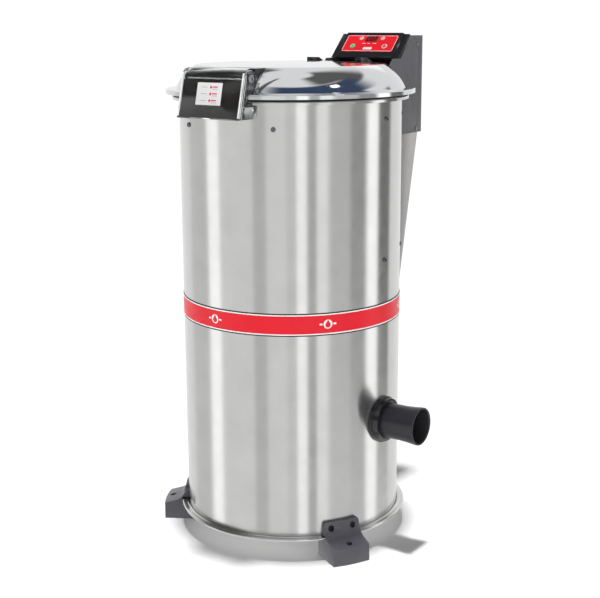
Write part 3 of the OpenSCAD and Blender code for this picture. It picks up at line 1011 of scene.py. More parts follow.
@dataclass
class Workshop:
    """What every sub-assembly shares: the materials and the node tools."""

    palette: Palette = field(default_factory=Palette)
    turn: Turn = field(default_factory=Turn)
    set_out: SetOut = field(default_factory=SetOut)
    perforate: Perforate = field(default_factory=Perforate)

    def mount(
        self, obj: Piece, body: Body, slot: Slot, *nodes: str, finish: Finish | None = None
    ) -> None:
        """Dress a finished piece, put it on its body and hide the frame nodes that it replaces.

        Args:
            obj: The piece.
            body: The body that it rides on.
            slot: The record slot that it takes its finish from.
            nodes: The frame nodes that it replaces.
            finish: A finish other than the slot's own.
        """
        obj.data.materials.clear()
        obj.data.materials.append(self.palette.of(finish or FINISHES[slot]))
        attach(obj, body.value)
        if nodes:
            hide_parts(*nodes)
        LOG.info("%s: %d faces on %s", obj.name, len(obj.data.polygons), body.value)

    def moulding(
        self, body: Body, slot: Slot, node: str, name: str, width: float, segments: int = 2,
        finish: Finish | None = None,
    ) -> None:
        """Soften a copy of a frame solid and mount it in the solid's place."""
        self.mount(softened(node, name, width, segments), body, slot, node, finish=finish)

    def screws(
        self, node: str, name: str, body: Body, spots: Spots, size: Point,
        drive: Drive = Drive.CROSS, finish: Finish | None = None,
    ) -> None:
        """Set screw heads out and mount them for a frame node.

        Args:
            node: The frame node of the screws.
            name: Name of the heads' one mesh.
            body: The body that they ride on.
            spots: Each head's seat, and the direction that it faces.
            size: A head's radius and height.
            drive: Its recess.
            finish: A finish other than zinc.
        """
        head = self.screw_head(*size, drive)
        heads = self.set_out.make(name, spots, head, self.palette.slot(Slot.ZINC_STEEL))
        self.mount(heads, body, Slot.ZINC_STEEL, node, finish=finish)

    def dress(self, node: str, slot: Slot) -> None:
        """Give a frame node that stays its slot's material."""
        for material_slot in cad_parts[node].material_slots:
            material_slot.material = self.palette.slot(slot)
        LOG.info("%s: frame solid in %s", node, slot.value)

    def screw_head(self, radius: float, height: float, drive: Drive) -> Piece:
        """Make one pan head, its seat at the origin and its top along +Z.

        Args:
            radius: Radius of the head.
            height: Its height.
            drive: Its recess.

        Returns:
            The head.
        """
        profile = [(0.0, 0.0), (radius, 0.0), (radius, 0.35 * height),
                   *arc((0.55 * radius, 0.35 * height), 0.45 * radius, 8, 82, 4)]
        top = [(r, min(z, height)) for r, z in profile] + [(0.0, height)]
        head = self.turn.make("head", top, self.palette.slot(Slot.ZINC_STEEL), False, 20)
        if drive is Drive.HEX:
            return cut(head, cylinder("key", 0.5 * radius, Vector((0, 0, 0.35 * height)),
                                      Vector((0, 0, 2 * height)), 6))
        if drive is Drive.CROSS:
            for turn in (0, 90):
                blade = new_object("blade", [], [])
                work = bmesh.new()
                size = Matrix.Diagonal((1.25 * radius, 0.24 * radius, 1.2 * height, 1))
                spin = Matrix.Rotation(math.radians(turn + 45), 4, "Z")
                bmesh.ops.create_cube(work, matrix=Matrix.Translation((0, 0, height)) @ spin @ size)
                work.to_mesh(blade.data)
                work.free()
                cut(head, blade)
        return head


@dataclass
class Drum:
    """The drum wall with its rim, the trim band, the base pan and the wall's screws."""

    shop: Workshop
    sheet: float = 1.5 * MM
    rim_lip: float = 7.0 * MM
    band_stand: float = 0.9 * MM
    edge_line: float = 2.2 * MM
    mark_radius: float = 8.6 * MM
    mark_count: int = 6
    mark_start: float = math.radians(-7)
    spout_hole: float = 34.6 * MM
    bead: float = 2.4 * MM
    vent_ring: float = 120.0 * MM
    vent_radius: float = 9.0 * MM
    vent_count: int = 12
    screw: Point = (4.6 * MM, 2.2 * MM)

    def __post_init__(self) -> None:
        """Read the drum's places from the frame."""
        self.low, self.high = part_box("drum_shell")
        self.band_low, self.band_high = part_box("trim_band")
        self.radius = self.band_high.x - self.band_stand

    def build(self) -> None:
        """Make and dress every piece of the drum."""
        self.wall()
        self.band()
        self.marks()
        self.pan()
        self.screws()

    def wall(self) -> None:
        """Turn the wall and its rolled rim, and cut the drain's hole."""
        top = self.high.z - self.sheet
        lip = self.high.x - self.sheet
        profile = rounded([(self.radius, self.low.z), (self.radius, top), (lip, top),
                           (lip, self.high.z - self.rim_lip)], 2.2 * MM, False)
        steel = self.shop.palette.slot(Slot.DRUM_STEEL)
        wall = self.shop.turn.make("drum_wall", profile, steel, False, FINE_TURN_STEPS)
        add_modifier(wall, "SOLIDIFY", thickness=self.sheet, offset=-1.0, use_even_offset=True)
        settle(wall)
        height = box_middle("spout").z
        cut(wall, cylinder("drain_cutter", self.spout_hole, Vector((0.5 * self.radius, 0, height)),
                           Vector((1.2 * self.radius, 0, height)), 64))
        self.shop.mount(wall, Body.MACHINE, Slot.DRUM_STEEL, "drum_shell")

    def band(self) -> None:
        """Turn the red band and the white and black lines along its edges."""
        inner = self.band_high.x - 0.8 * MM
        outer = self.band_high.x - 0.15 * MM
        low, high, line = self.band_low.z, self.band_high.z, self.edge_line
        rows = [
            ("band_red", low + 2 * line, high - 2 * line, FINISHES[Slot.RED_TRIM]),
            ("band_white_low", low + line, low + 2 * line, INK_WHITE),
            ("band_white_high", high - 2 * line, high - line, INK_WHITE),
            ("band_black_low", low, low + line, INK_BLACK),
            ("band_black_high", high - line, high, INK_BLACK),
        ]
        for name, bottom, top, ink in rows:
            profile = [(inner, bottom), (outer, bottom), (outer, top), (inner, top)]
            ring = self.shop.turn.make(name, profile, self.shop.palette.of(ink), True,
                                       FINE_TURN_STEPS)
            self.shop.mount(ring, Body.MACHINE, Slot.RED_TRIM, "trim_band", finish=ink)

    def marks(self) -> None:
        """Stick a plain white roundel with a red drop on the band, six times round."""
        middle = (self.band_low.z + self.band_high.z) / 2
        skin = self.band_high.x - 0.14 * MM
        upright = Matrix.Rotation(math.pi / 2, 4, "X")
        roundels, drops = [], []
        for i in range(self.mark_count):
            turn = Matrix.Rotation(self.mark_start + 2 * math.pi * i / self.mark_count, 4, "Z")
            face = turn @ Matrix.Translation((0, -skin, middle)) @ upright
            disc = disc_columns(self.mark_radius)
            roundels.append(strip(f"roundel_{i}", disc, face, 0.1 * MM, skin))
            for side in (-1, 1):
                start, end = sorted(side * far * self.mark_radius for far in (1.25, 1.9))
                bar = [(start + (end - start) * k / 4, -1.6 * MM, 1.6 * MM) for k in range(5)]
                roundels.append(strip(f"bar_{i}_{side}", bar, face, 0.1 * MM, skin))
            lift = Matrix.Translation((0, 0, 0.08 * MM))
            drops.append(strip(f"drop_{i}", self.drop(0.62 * self.mark_radius), face @ lift,
                               0.05 * MM, skin))
        self.shop.mount(join("band_marks_white", roundels), Body.MACHINE, Slot.RED_TRIM,
                        finish=INK_WHITE)
        self.shop.mount(join("band_marks_red", drops), Body.MACHINE, Slot.RED_TRIM)

    def drop(self, radius: float) -> list[tuple[float, float, float]]:
        """Give the columns of a water drop.

        Args:
            radius: Radius of the drop's round part.

        Returns:
            Columns as (x, lower y, upper y).
        """
        columns = []
        for x, low, high in disc_columns(radius, count=16):
            reach = 1 - abs(x) / radius
            columns.append((x, low - 0.3 * radius, high - 0.3 * radius + 0.9 * radius * reach ** 2))
        return columns

    def pan(self) -> None:
        """Turn the base pan with its two rolled beads and cut its vents."""
        low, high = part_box("base_pan")
        outer = high.x - self.bead
        beads = [*arc((outer, low.z + 3 * MM), self.bead, -95, 118, 12),
                 *arc((self.radius + 2.8 * MM, low.z + 4 * MM), self.bead, 38, 150, 8)]
        floor = low.z + 2.2 * MM
        profile = [(40 * MM, low.z), (outer - 4 * MM, low.z), *beads,
                   (self.radius - 1 * MM, floor), (40 * MM, floor)]
        steel = self.shop.palette.slot(Slot.DRUM_STEEL)
        pan = self.shop.turn.make("base_pan_spun", profile, steel, True, FINE_TURN_STEPS)
        vents = []
        below, above = Vector((0, 0, low.z - 10 * MM)), Vector((0, 0, floor + 10 * MM))
        for i in range(self.vent_count):
            turn = Matrix.Rotation(2 * math.pi * i / self.vent_count, 4, "Z")
            spot = turn @ Vector((self.vent_ring, 0, 0))
            vents.append(cylinder(f"vent_{i}", self.vent_radius, spot + below, spot + above, 24))
        cut(pan, join("vents", vents))
        self.shop.mount(pan, Body.MACHINE, Slot.DRUM_STEEL, "base_pan")

    def screws(self) -> None:
        """Set cross-head screws out where the frame has them."""
        spots = []
        for low, high in solids("drum_screws"):
            centre = (low + high) / 2
            outward = Vector((centre.x, centre.y, 0)).normalized()
            spots.append((outward * (self.radius + 0.2 * MM) + Vector((0, 0, centre.z)), outward))
        # The heads take a darker steel than the other screws, a painted shade.
        self.shop.screws("drum_screws", "drum_screw_heads", Body.MACHINE, spots, self.screw,
                         finish=PAINTED_SHADE_SCREW)


@dataclass
class Feet:
    """Three bolt-down feet and the screws that hold them to the drum."""

    shop: Workshop
    rounding: float = 2.4 * MM
    angles: tuple[float, ...] = (-60.0, 60.0, 180.0)
    screw: Point = (5.5 * MM, 3.0 * MM)

    def build(self) -> None:
        """Soften each foot and set its screws out."""
        for node in ("foot_front_left", "foot_front_right", "foot_rear"):
            self.shop.moulding(Body.MACHINE, Slot.FOOT_PLASTIC, node, f"{node}_moulding",
                               self.rounding, 3)
        spots = []
        for low, high in solids("foot_screws"):
            centre = (low + high) / 2
            side = min(self.angles, key=lambda a: abs(self.offset(centre, a)))
            outward = Vector((math.sin(math.radians(side)), -math.cos(math.radians(side)), 0))
            spots.append((centre, outward))
        # The heads take near-black steel, a painted shade of the recesses that they sit in.
        self.shop.screws("foot_screws", "foot_screw_heads", Body.MACHINE, spots, self.screw,
                         Drive.HEX, RECESS_SHADE_SCREW)

    def offset(self, spot: Vector, degrees: float) -> float:
        """Give the angle between a spot and a foot's own direction.

        Args:
            spot: A point.
            degrees: The foot's angle from the front.

        Returns:
            The difference in radians, from -pi to pi.
        """
        turn = math.atan2(spot.x, -spot.y) - math.radians(degrees)
        return (turn + math.pi) % (2 * math.pi) - math.pi


@dataclass
class Drain:
    """The rubber spout and its saddle collar."""

    shop: Workshop
    bore: float = 28.0 * MM

    def build(self) -> None:
        """Turn the spout, and soften the collar and its two rings."""
        low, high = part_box("spout")
        centre = Vector((0, 0, (low.z + high.z) / 2))
        mouth = high.z - centre.z
        tube = mouth - 3 * MM
        end = high.x
        outline = [(tube, low.x), (tube, end - 37 * MM), (tube + 0.9 * MM, end - 23 * MM),
                   (mouth - 0.6 * MM, end - 9 * MM), (mouth, end - 2 * MM), (mouth - 0.8 * MM, end),
                   (mouth - 2.6 * MM, end), (mouth - 4 * MM, end - 2.5 * MM),
                   (self.bore + 3 * MM, end - 12 * MM), (self.bore + 1 * MM, end - 22 * MM),
                   (self.bore, end - 32 * MM), (self.bore, low.x)]
        rubber = self.shop.palette.slot(Slot.SPOUT_RUBBER)
        spout = self.shop.turn.make("spout_moulding", rounded(outline, 3 * MM), rubber, True, 96)
        spout.data.transform(Matrix.Translation(centre) @ Matrix.Rotation(math.pi / 2, 4, "Y"))
        self.shop.mount(spout, Body.MACHINE, Slot.SPOUT_RUBBER, "spout")
        self.shop.moulding(Body.MACHINE, Slot.SPOUT_RUBBER, "spout_collar", "spout_saddle",
                           1.4 * MM, 3, FINISHES[Slot.BLACK_PLASTIC])


@dataclass
class Basket:
    """The perforated spin basket."""

    shop: Workshop
    sheet: float = 1.5 * MM
    rim: float = 4.0 * MM
    columns: int = 76
    rows: int = 36
    hole_share: float = 0.24
    plain_low: float = 20.0 * MM

    def build(self) -> None:
        """Make the perforated wall, the rolled rim and the dished floor."""
        low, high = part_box("basket")
        radius = high.x - self.rim - 0.5 * MM
        top = high.z - 2 * self.rim
        inner = self.shop.palette.slot(Slot.INNER_STEEL)
        wall = new_object("basket_wall", *self.tile())
        self.shop.perforate.apply(wall, Radius=radius, Low=low.z + self.plain_low, High=top,
                                  Columns=self.columns, Rows=self.rows, Material=inner)
        add_modifier(wall, "SOLIDIFY", thickness=self.sheet, offset=-1.0)
        settle(wall)
        self.shop.mount(wall, Body.BASKET, Slot.INNER_STEEL, "basket")
        rim_centre = (radius + 0.5 * MM, high.z - self.rim)
        rim = self.shop.turn.make("basket_rim", arc(rim_centre, self.rim, -180, 156, 14), inner)
        self.shop.mount(rim, Body.BASKET, Slot.INNER_STEEL, "basket")
        hub = 17.2 * MM
        floor = rounded([(hub, low.z), (radius, low.z), (radius, low.z + self.plain_low),
                         (radius - self.sheet, low.z + self.plain_low),
                         (radius - self.sheet, low.z + 2 * MM), (hub, low.z + 2 * MM)], 3 * MM)
        base = self.shop.turn.make("basket_floor", floor, inner)
        self.shop.mount(base, Body.BASKET, Slot.INNER_STEEL, "basket")

    def tile(self) -> tuple[list, list]:
        """Make one unit tile with an eight-sided hole.

        Returns:
            Its vertices and faces.
        """
        ring = [(1, 0), (1, 1), (0, 1), (-1, 1), (-1, 0), (-1, -1), (0, -1), (1, -1)]
        outer = [(x / 2, y / 2, 0) for x, y in ring]
        hole = [(self.hole_share * math.cos(math.atan2(y, x)),
                 self.hole_share * math.sin(math.atan2(y, x)), 0) for x, y in ring]
        faces = [(i, (i + 1) % 8, 8 + (i + 1) % 8, 8 + i) for i in range(8)]
        return outer + hole, faces


@dataclass
class Lid:
    """The polished dome with its seal, straps and hinge."""

    shop: Workshop
    sheet: float = 1.5 * MM
    shoulder: float = 90.0 * MM
    shoulder_spot: Point = (137.4 * MM, 849.3 * MM)
    crown: float = 5.4
    flange_lip: float = 7.3 * MM

    def build(self) -> None:
        """Make the dome and its fittings."""
        low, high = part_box("lid_dome")
        reach = high.x
        flange = low.z + self.flange_lip + self.sheet
        cr, cz = self.shoulder_spot
        foot = math.degrees(math.asin((flange - cz) / self.shoulder))
        corner = self.corner_angle(high.z)
        dome = arc((cr, cz), self.shoulder, foot, corner - 3.0, 26)
        corner_r = cr + self.shoulder * math.cos(math.radians(corner))
        crown = [(r, high.z - r * r / (2 * self.crown))
                 for r in [corner_r - 6 * MM, *[corner_r * k / 10 for k in range(9, -1, -1)]]]
        lip = rounded([(reach, low.z), (reach, flange), (dome[0][0] + 0.2 * MM, flange), dome[1]],
                      3.0 * MM, False)
        bend = rounded([dome[-1], (corner_r, high.z - corner_r ** 2 / (2 * self.crown)), crown[0]],
                       7 * MM, False, 8)
        profile = [*lip, *dome[2:-1], *bend, *crown[1:]]
        skin = self.shop.turn.make("lid_skin", profile, self.shop.palette.slot(Slot.LID_STEEL),
                                   False, FINE_TURN_STEPS)
        add_modifier(skin, "SOLIDIFY", thickness=self.sheet, offset=-1.0)
        settle(skin)
        self.shop.mount(skin, Body.LID, Slot.LID_STEEL, "lid_dome")
        self.seal()
        self.shop.moulding(Body.LID, Slot.STRAP_PAINT, "lid_hinge_straps", "lid_straps", 1.2 * MM)
        for node, slot in (("sensor_magnet", Slot.BLACK_PLASTIC), ("hinge_pin", Slot.SHAFT_STEEL),
                           ("hinge_washers", Slot.BRONZE_WASHER)):
            self.shop.dress(node, slot)

    def corner_angle(self, top: float) -> float:
        """Find where the shoulder's arc meets the crown.

        Args:
            top: Height of the crown's top.

        Returns:
            The angle on the shoulder's arc in degrees.
        """
        cr, cz = self.shoulder_spot
        low, high = 30.0, 90.0
        for _ in range(30):
            middle = (low + high) / 2
            r = cr + self.shoulder * math.cos(math.radians(middle))
            z = cz + self.shoulder * math.sin(math.radians(middle))
            if z < top - r * r / (2 * self.crown):
                low = middle
            else:
                high = middle
        return low

    def seal(self) -> None:
        """Turn the seal as a rounded strip."""
        low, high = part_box("lid_gasket")
        outer, inner = high.x, high.x - 10 * MM
        corners = [(inner, low.z), (outer, low.z), (outer, high.z), (inner, high.z)]
        profile = rounded(corners, 3 * MM)
        seal = self.shop.turn.make("lid_seal", profile, self.shop.palette.slot(Slot.SEAL_RUBBER))
        self.shop.mount(seal, Body.LID, Slot.SEAL_RUBBER, "lid_gasket")


@dataclass
class Latch:
    """The clear flap with its panel and label, and the body that it turns on."""

    shop: Workshop
    lean: float = math.radians(14)
    rows: int = 3
    # Width of the painted highlight strips on the flap's front edges.
    highlight_wide: float = 2.6 * MM
    drop: float = 73.0 * MM
    ink: float = 0.06 * MM
    # Thickness of the painted highlight strips on the flap's edges.
    highlight_thick: float = 0.2 * MM
    row_step: float = 12.0 * MM
    pivot_screw: Point = (7.0 * MM, 3.1 * MM)

    def build(self) -> None:
        """Make the flap's and the latch body's pieces."""
        shop = self.shop
        shop.moulding(Body.FLAP, Slot.CLEAR_COVER, "latch_cover", "clear_flap", 0.7 * MM)
        # The flap's edges get white strips, a painted highlight.
        self.paint_edge_highlights()
        shop.moulding(Body.FLAP, Slot.BLACK_PLASTIC, "latch_panel", "flap_panel", 0.4 * MM,
                      finish=PANEL_BLACK)
        shop.moulding(Body.FLAP, Slot.LABEL_WHITE, "latch_label", "flap_label", 0.12 * MM)
        self.print_label()
        self.shop.dress("latch_bar", Slot.INNER_STEEL)
        self.shop.dress("latch_stops", Slot.SEAL_RUBBER)
        self.shop.dress("latch_body", Slot.BLACK_PLASTIC)
        self.shop.dress("latch_keeper", Slot.INNER_STEEL)
        self.pivots()

    def paint_edge_highlights(self) -> None:
        """Lay white strips, painted highlights, along the flap's front corners and its side walls.
        """
        half_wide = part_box("latch_cover")[1].x
        pivot = box_middle("latch_pivots")
        tilt = Matrix.Rotation(math.pi / 2 - self.lean, 4, "X")
        front = Matrix.Translation((0, pivot.y, pivot.z)) @ tilt
        edges = []
        for side in (-1, 1):
            skin = front @ Matrix.Translation((side * (half_wide - 1.3 * MM), 0, 18.15 * MM))
            ends = sorted((side * 1.1 * MM, -side * self.highlight_wide))
            edges.append(self.bar(f"front_edge_{side}", *ends, -self.drop, 6 * MM, skin))
            wall = (front @ Matrix.Translation((side * (half_wide + 0.15 * MM), 0, 0))
                    @ Matrix.Rotation(side * math.pi / 2, 4, "Y"))
            for depth, wide in ((-16.2, 1.0), (-11.5, 0.5)):
                x = side * depth * MM
                edges.append(self.bar(f"wall_edge_{side}_{depth}", x - wide * MM, x + wide * MM,
                                      -self.drop, 2 * MM, wall))
        self.shop.mount(join("flap_cut_edges", edges), Body.FLAP, Slot.CLEAR_COVER,
                        finish=PAINTED_EDGE_HIGHLIGHT)

    def print_label(self) -> None:
        """Print three rows of a dot and two lines, as plain pictograms."""
        outward = Vector((0, -math.cos(self.lean), math.sin(self.lean)))
        skin = box_middle("latch_label") + outward * 0.2 * MM
        face = Matrix.Translation(skin) @ Matrix.Rotation(math.pi / 2 - self.lean, 4, "X")
        dots, reds, greys = [], [], []
        for i in range(self.rows):
            y = (self.rows // 2 - i) * self.row_step
            dots.append(strip(f"dot_{i}", disc_columns(2.4 * MM, 3 * MM, y, 16), face, self.ink))
            reds.append(self.line(f"red_line_{i}", 7 * MM, 18 * MM, y + 0.4 * MM, 1.1 * MM, face))
            greys.append(self.line(f"grey_low_{i}", 7 * MM, 19 * MM, y - 3.4 * MM, 0.6 * MM, face))
            greys.append(self.line(f"grey_left_{i}", -18 * MM, -4 * MM, y, 0.6 * MM, face))
        self.shop.mount(join("label_red_print", dots + reds), Body.FLAP, Slot.LABEL_WHITE,
                        finish=INK_RED)
        self.shop.mount(join("label_grey_print", greys), Body.FLAP, Slot.LABEL_WHITE,
                        finish=INK_GREY)

    def bar(
        self, name: str, left: float, right: float, low: float, high: float, face: Matrix
    ) -> Piece:
        """Lay one thin upright bar on a plane.

        Args:
            name: The bar's name.
            left: Its left side.
            right: Its right side.
            low: Its lower end.
            high: Its upper end.
            face: The plane.

        Returns:
            The bar.
        """
        return strip(name, [(left, low, high), (right, low, high)], face, self.highlight_thick)

    def line(
        self, name: str, start: float, end: float, y: float, half: float, face: Matrix
    ) -> Piece:
        """Print one straight line.

        Args:
            name: The line's name.
            start: Its left end.
            end: Its right end.
            y: Its height.
            half: Half of its width.
            face: The label's plane.

        Returns:
            The line.
        """
        columns = [(x, y - half, y + half) for x in (start, end)]
        return strip(name, columns, face, self.ink)

    def pivots(self) -> None:
        """Set a domed cross-head screw at each end of the flap's pivot."""
        self.shop.screws("latch_pivots", "pivot_screw_heads", Body.LID,
                         side_spots("latch_pivots", 3.2 * MM), self.pivot_screw)


@dataclass
class Column:
    """The rear column, its duct and what is fastened to them."""

    shop: Workshop
    screw: Point = (4.0 * MM, 2.2 * MM)

    def build(self) -> None:
        """Soften the folded sheets and set the column's screws out."""
        for node, name, slot, width in (
            ("column_cover", "column_folded", Slot.COLUMN_PAINT, 0.6 * MM),
            ("column_front_panel", "column_front", Slot.COLUMN_PAINT, 0.5 * MM),
            ("cable_duct", "duct_folded", Slot.INNER_STEEL, 0.6 * MM),
        ):
            self.shop.moulding(Body.MACHINE, slot, node, name, width)
        self.shop.screws("column_screws", "column_screw_heads", Body.MACHINE,
                         side_spots("column_screws", 2.3 * MM), self.screw)
        self.shop.dress("lid_sensor", Slot.BLACK_PLASTIC)
        self.shop.dress("wiring_cable", Slot.SEAL_RUBBER)
        self.shop.moulding(Body.MACHINE, Slot.BLACK_PLASTIC, "mains_gland",
                           "mains_gland_moulding", 0.8 * MM)


@dataclass
class ControlHead:
    """The sloped control head: housing, bezel, printed film, display and keys."""

    shop: Workshop
    lean: float = math.radians(45)
    film: tuple[float, float] = (125.0 * MM, 46.0 * MM)
    film_thick: float = 0.5 * MM
    corner: float = 3.5 * MM
    border_inset: float = 1.1 * MM
    border_width: float = 0.9 * MM
    key_gap: float = 0.3 * MM
    ink: float = 0.05 * MM
    display: Point = (14.2 * MM, 7.95 * MM)
    plans: tuple[tuple[Body, Slot, float], ...] = (
        (Body.KEY_UP, Slot.KEY_LIGHT, 5.0 * MM), (Body.KEY_DOWN, Slot.KEY_LIGHT, 5.0 * MM),
        (Body.KEY_START, Slot.KEY_GREEN, 6.5 * MM), (Body.KEY_STOP, Slot.KEY_LIGHT, 6.5 * MM),
    )

    def __post_init__(self) -> None:
        """Find the film's plane."""
        turn = Matrix.Rotation(self.lean, 4, "X")
        lift = Matrix.Translation((0, 0, self.film_thick / 2))
        self.face = Matrix.Translation(box_middle("control_membrane")) @ turn @ lift

    def build(self) -> None:
        """Make every piece of the head."""
        for node, name, slot, width, segments in (
            ("control_housing", "head_housing", Slot.BLACK_PLASTIC, 1.2 * MM, 3),
            ("control_bezel", "head_bezel", Slot.BLACK_PLASTIC, 0.7 * MM, 3),
            ("display_window", "display_lens", Slot.DISPLAY_RED, 0.3 * MM, 2),
        ):
            self.shop.moulding(Body.MACHINE, slot, node, name, width, segments)
        self.shop.dress("control_board", Slot.BOARD_GREEN)
        self.printed_film()
        self.digits()
        self.keys()

    def spot(self, node: str) -> Vector:
        """Give a node's centre in the film's plane."""
        return self.face.inverted() @ box_middle(node)

    def flat_piece(
        self, name: str, outlines: Sequence[Sequence[Point]], low: float, high: float
    ) -> Piece:
        """Make a flat piece with holes, lying in the film's plane.

        Args:
            name: The piece's name.
            outlines: The outer outline and then the holes.
            low: Height of its underside above the film's face.
            high: Height of its top above the film's face.

        Returns:
            The piece, in its place.
        """
        curve = bpy.data.curves.new(name, "CURVE")
        curve.dimensions = "2D"
        curve.fill_mode = "BOTH"
        curve.extrude = (high - low) / 2
        for outline in outlines:
            spline = curve.splines.new("POLY")
            spline.points.add(len(outline) - 1)
            for point, (x, y) in zip(spline.points, outline):
                point.co = (x, y, 0, 1)
            spline.use_cyclic_u = True
        holder = bpy.data.objects.new(name + "_curve", curve)
        bpy.context.scene.collection.objects.link(holder)
        depsgraph = bpy.context.evaluated_depsgraph_get()
        depsgraph.update()
        mesh = bpy.data.meshes.new_from_object(holder.evaluated_get(depsgraph), depsgraph=depsgraph)
        bpy.data.objects.remove(holder)
        bpy.data.curves.remove(curve)
        mesh.transform(self.face @ Matrix.Translation((0, 0, (low + high) / 2)))
        obj = bpy.data.objects.new(name, mesh)
        bpy.context.scene.collection.objects.link(obj)
        work = bmesh.new()
        work.from_mesh(mesh)
        bmesh.ops.remove_doubles(work, verts=work.verts, dist=WELD)
        bmesh.ops.recalc_face_normals(work, faces=work.faces)
        work.to_mesh(mesh)
        work.free()
        smooth(mesh)
        return obj

    def frame_outline(self, inset: float) -> list[Point]:
        """Give the film's rounded outline, drawn in by an inset."""
        w, h = self.film[0] / 2 - inset, self.film[1] / 2 - inset
        return rounded(rectangle(0.0, 0.0, w, h), max(self.corner - inset, 1 * MM) * 1.6, True, 8)

    def circle(self, x: float, y: float, radius: float, steps: int = 40) -> list[Point]:
        """Give a round outline."""
        return arc((x, y), radius, 0, 360, steps)[:-1]

    def printed_film(self) -> None:
        """Make the red film with its openings, its white border and its pictograms."""
        openings = []
        for body, _, radius in self.plans:
            centre = self.spot(body.value)
            openings.append(self.circle(centre.x, centre.y, radius + self.key_gap))
        display = self.spot("display_window")
        openings.append(rectangle(display.x, display.y, *self.display))
        film = self.flat_piece("printed_film", [self.frame_outline(0), *openings],
                               -self.film_thick, 0)
        self.shop.mount(film, Body.MACHINE, Slot.MEMBRANE_RED, "control_membrane")
        border = self.flat_piece(
            "film_border",
            [self.frame_outline(self.border_inset),
             self.frame_outline(self.border_inset + self.border_width)], 0.0, self.ink)
        self.shop.mount(border, Body.MACHINE, Slot.MEMBRANE_RED, finish=INK_WHITE)
        pictures = []
        for i, x in enumerate((-14, -2.5, 12)):
            length = 4 * MM if i != 1 else 2.4 * MM
            y = display.y - 13.2 * MM
            bar = rectangle(x * MM, y, length, 0.7 * MM)
            pictures.append(self.flat_piece(f"bar_{i}", [bar], 0.0, self.ink))
        pill = rounded(rectangle(0.0, -self.film[1] / 2 + 8.5 * MM, 11 * MM, 3.2 * MM),
                       3.1 * MM, True, 8)
        pictures.append(self.flat_piece("pill", [pill], 0.0, self.ink))
        self.shop.mount(join("film_pictograms", pictures), Body.MACHINE, Slot.MEMBRANE_RED,
                        finish=INK_WHITE)

    def digits(self) -> None:
        """Light two seven-segment digits, both zero, on the display."""
        centre = self.spot("display_window")
        segments = []
        for side in (-1, 1):
            x0 = centre.x + side * 5.2 * MM
            for dx, dy, upright in ((0, 4.4, False), (0, -4.4, False), (2.6, 2.2, True),
                                    (-2.6, 2.2, True), (2.6, -2.2, True), (-2.6, -2.2, True)):
                w, h = (0.45, 1.8) if upright else (2.1, 0.45)
                outline = rectangle(x0 + dx * MM, centre.y + dy * MM, w * MM, h * MM)
                segments.append(self.flat_piece("segment", [outline], 0.62 * MM, 0.66 * MM))
        self.shop.mount(join("display_digits", segments), Body.MACHINE, Slot.DISPLAY_RED,
                        finish=LAMP_RED)

    def keys(self) -> None:
        """Turn each key's domed cap and print its ring or arrow."""
        base, rim = -2.9 * MM, 0.45 * MM
        for body, slot, radius in self.plans:
            node = body.value
            centre = self.spot(node)
            skirt = radius + 1.2 * MM
            profile = [(0.0, base), (skirt, base), (skirt, base + 1.4 * MM),
                       (radius, base + 1.5 * MM), (radius, rim - 0.3 * MM),
                       (radius - 0.4 * MM, rim), (0.6 * radius, rim + 0.35 * MM),
                       (0.0, rim + 0.5 * MM)]
            cap = self.shop.turn.make(f"{node}_cap", profile, self.shop.palette.slot(slot),
                                      False, 40)
            cap.data.transform(self.face @ Matrix.Translation((centre.x, centre.y, 0)))
            self.shop.mount(cap, body, slot, node)
            self.key_print(body, slot, centre, radius, rim)

    def key_print(self, body: Body, slot: Slot, centre: Vector, radius: float, rim: float) -> None:
        """Print a key's own picture: an arrow, a ring or a hexagon.

        Args:
            body: The key's body.
            slot: The key's slot.
            centre: Its centre in the film's plane.
            radius: Its radius.
            rim: Height of its edge above the film.
        """
        x, y, size = centre.x, centre.y, 0.42 * radius
        top = rim + 0.5 * MM
        ink = INK_RED
        if body in (Body.KEY_UP, Body.KEY_DOWN):
            way = 1 if body is Body.KEY_UP else -1
            outlines = [[(x - size, y - way * size * 0.6), (x + size, y - way * size * 0.6),
                         (x, y + way * size * 0.9)]]
        elif body is Body.KEY_START:
            ink = INK_WHITE
            outlines = [self.circle(x, y, 0.62 * radius), self.circle(x, y, 0.5 * radius)]
        else:
            outlines = [self.circle(x, y, 0.66 * radius, 6)]
        picture = self.flat_piece(f"{body.value}_print", outlines, top - 0.1 * MM, top)
        self.shop.mount(picture, body, slot, finish=ink)


@dataclass
class Machinery:
    """The motor, shaft, bearings and sump: frame solids in their own finishes."""

    shop: Workshop

    def build(self) -> None:
        """Dress every inner solid."""
        plan = {
            Slot.INNER_STEEL: ("sump_tray",),
            Slot.ZINC_STEEL: ("motor_brackets", "motor_plate", "basket_nut", "shaft_bolt"),
            Slot.SHAFT_STEEL: ("drive_shaft", "upper_bearing", "lower_bearing"),
            Slot.ROTOR_STEEL: ("motor_rotor", "motor_stator"),
            Slot.CAST_ALUMINIUM: ("motor_top_shield", "motor_bottom_shield", "basket_hub"),
            Slot.MOTOR_PAINT: ("motor_body",),
            Slot.BLACK_PLASTIC: ("fan_cover", "motor_fan"),
            Slot.SEAL_RUBBER: ("motor_mounts", "shaft_seal"),
        }
        for slot, nodes in plan.items():
            for node in nodes:
                self.shop.dress(node, slot)


# ---- studio --------------------------------------------------------------------------------


@dataclass(frozen=True)
class Card:
    """A light panel or dark flag in the studio, seen only in reflections.

    Angles are in degrees; the azimuth is counted from the camera's side.
    """

    azimuth: float
    half_width: float
    level: float
    low: float = -90.0
    high: float = 24.0
    tint: tuple[float, float, float] = (1.0, 1.0, 1.0)


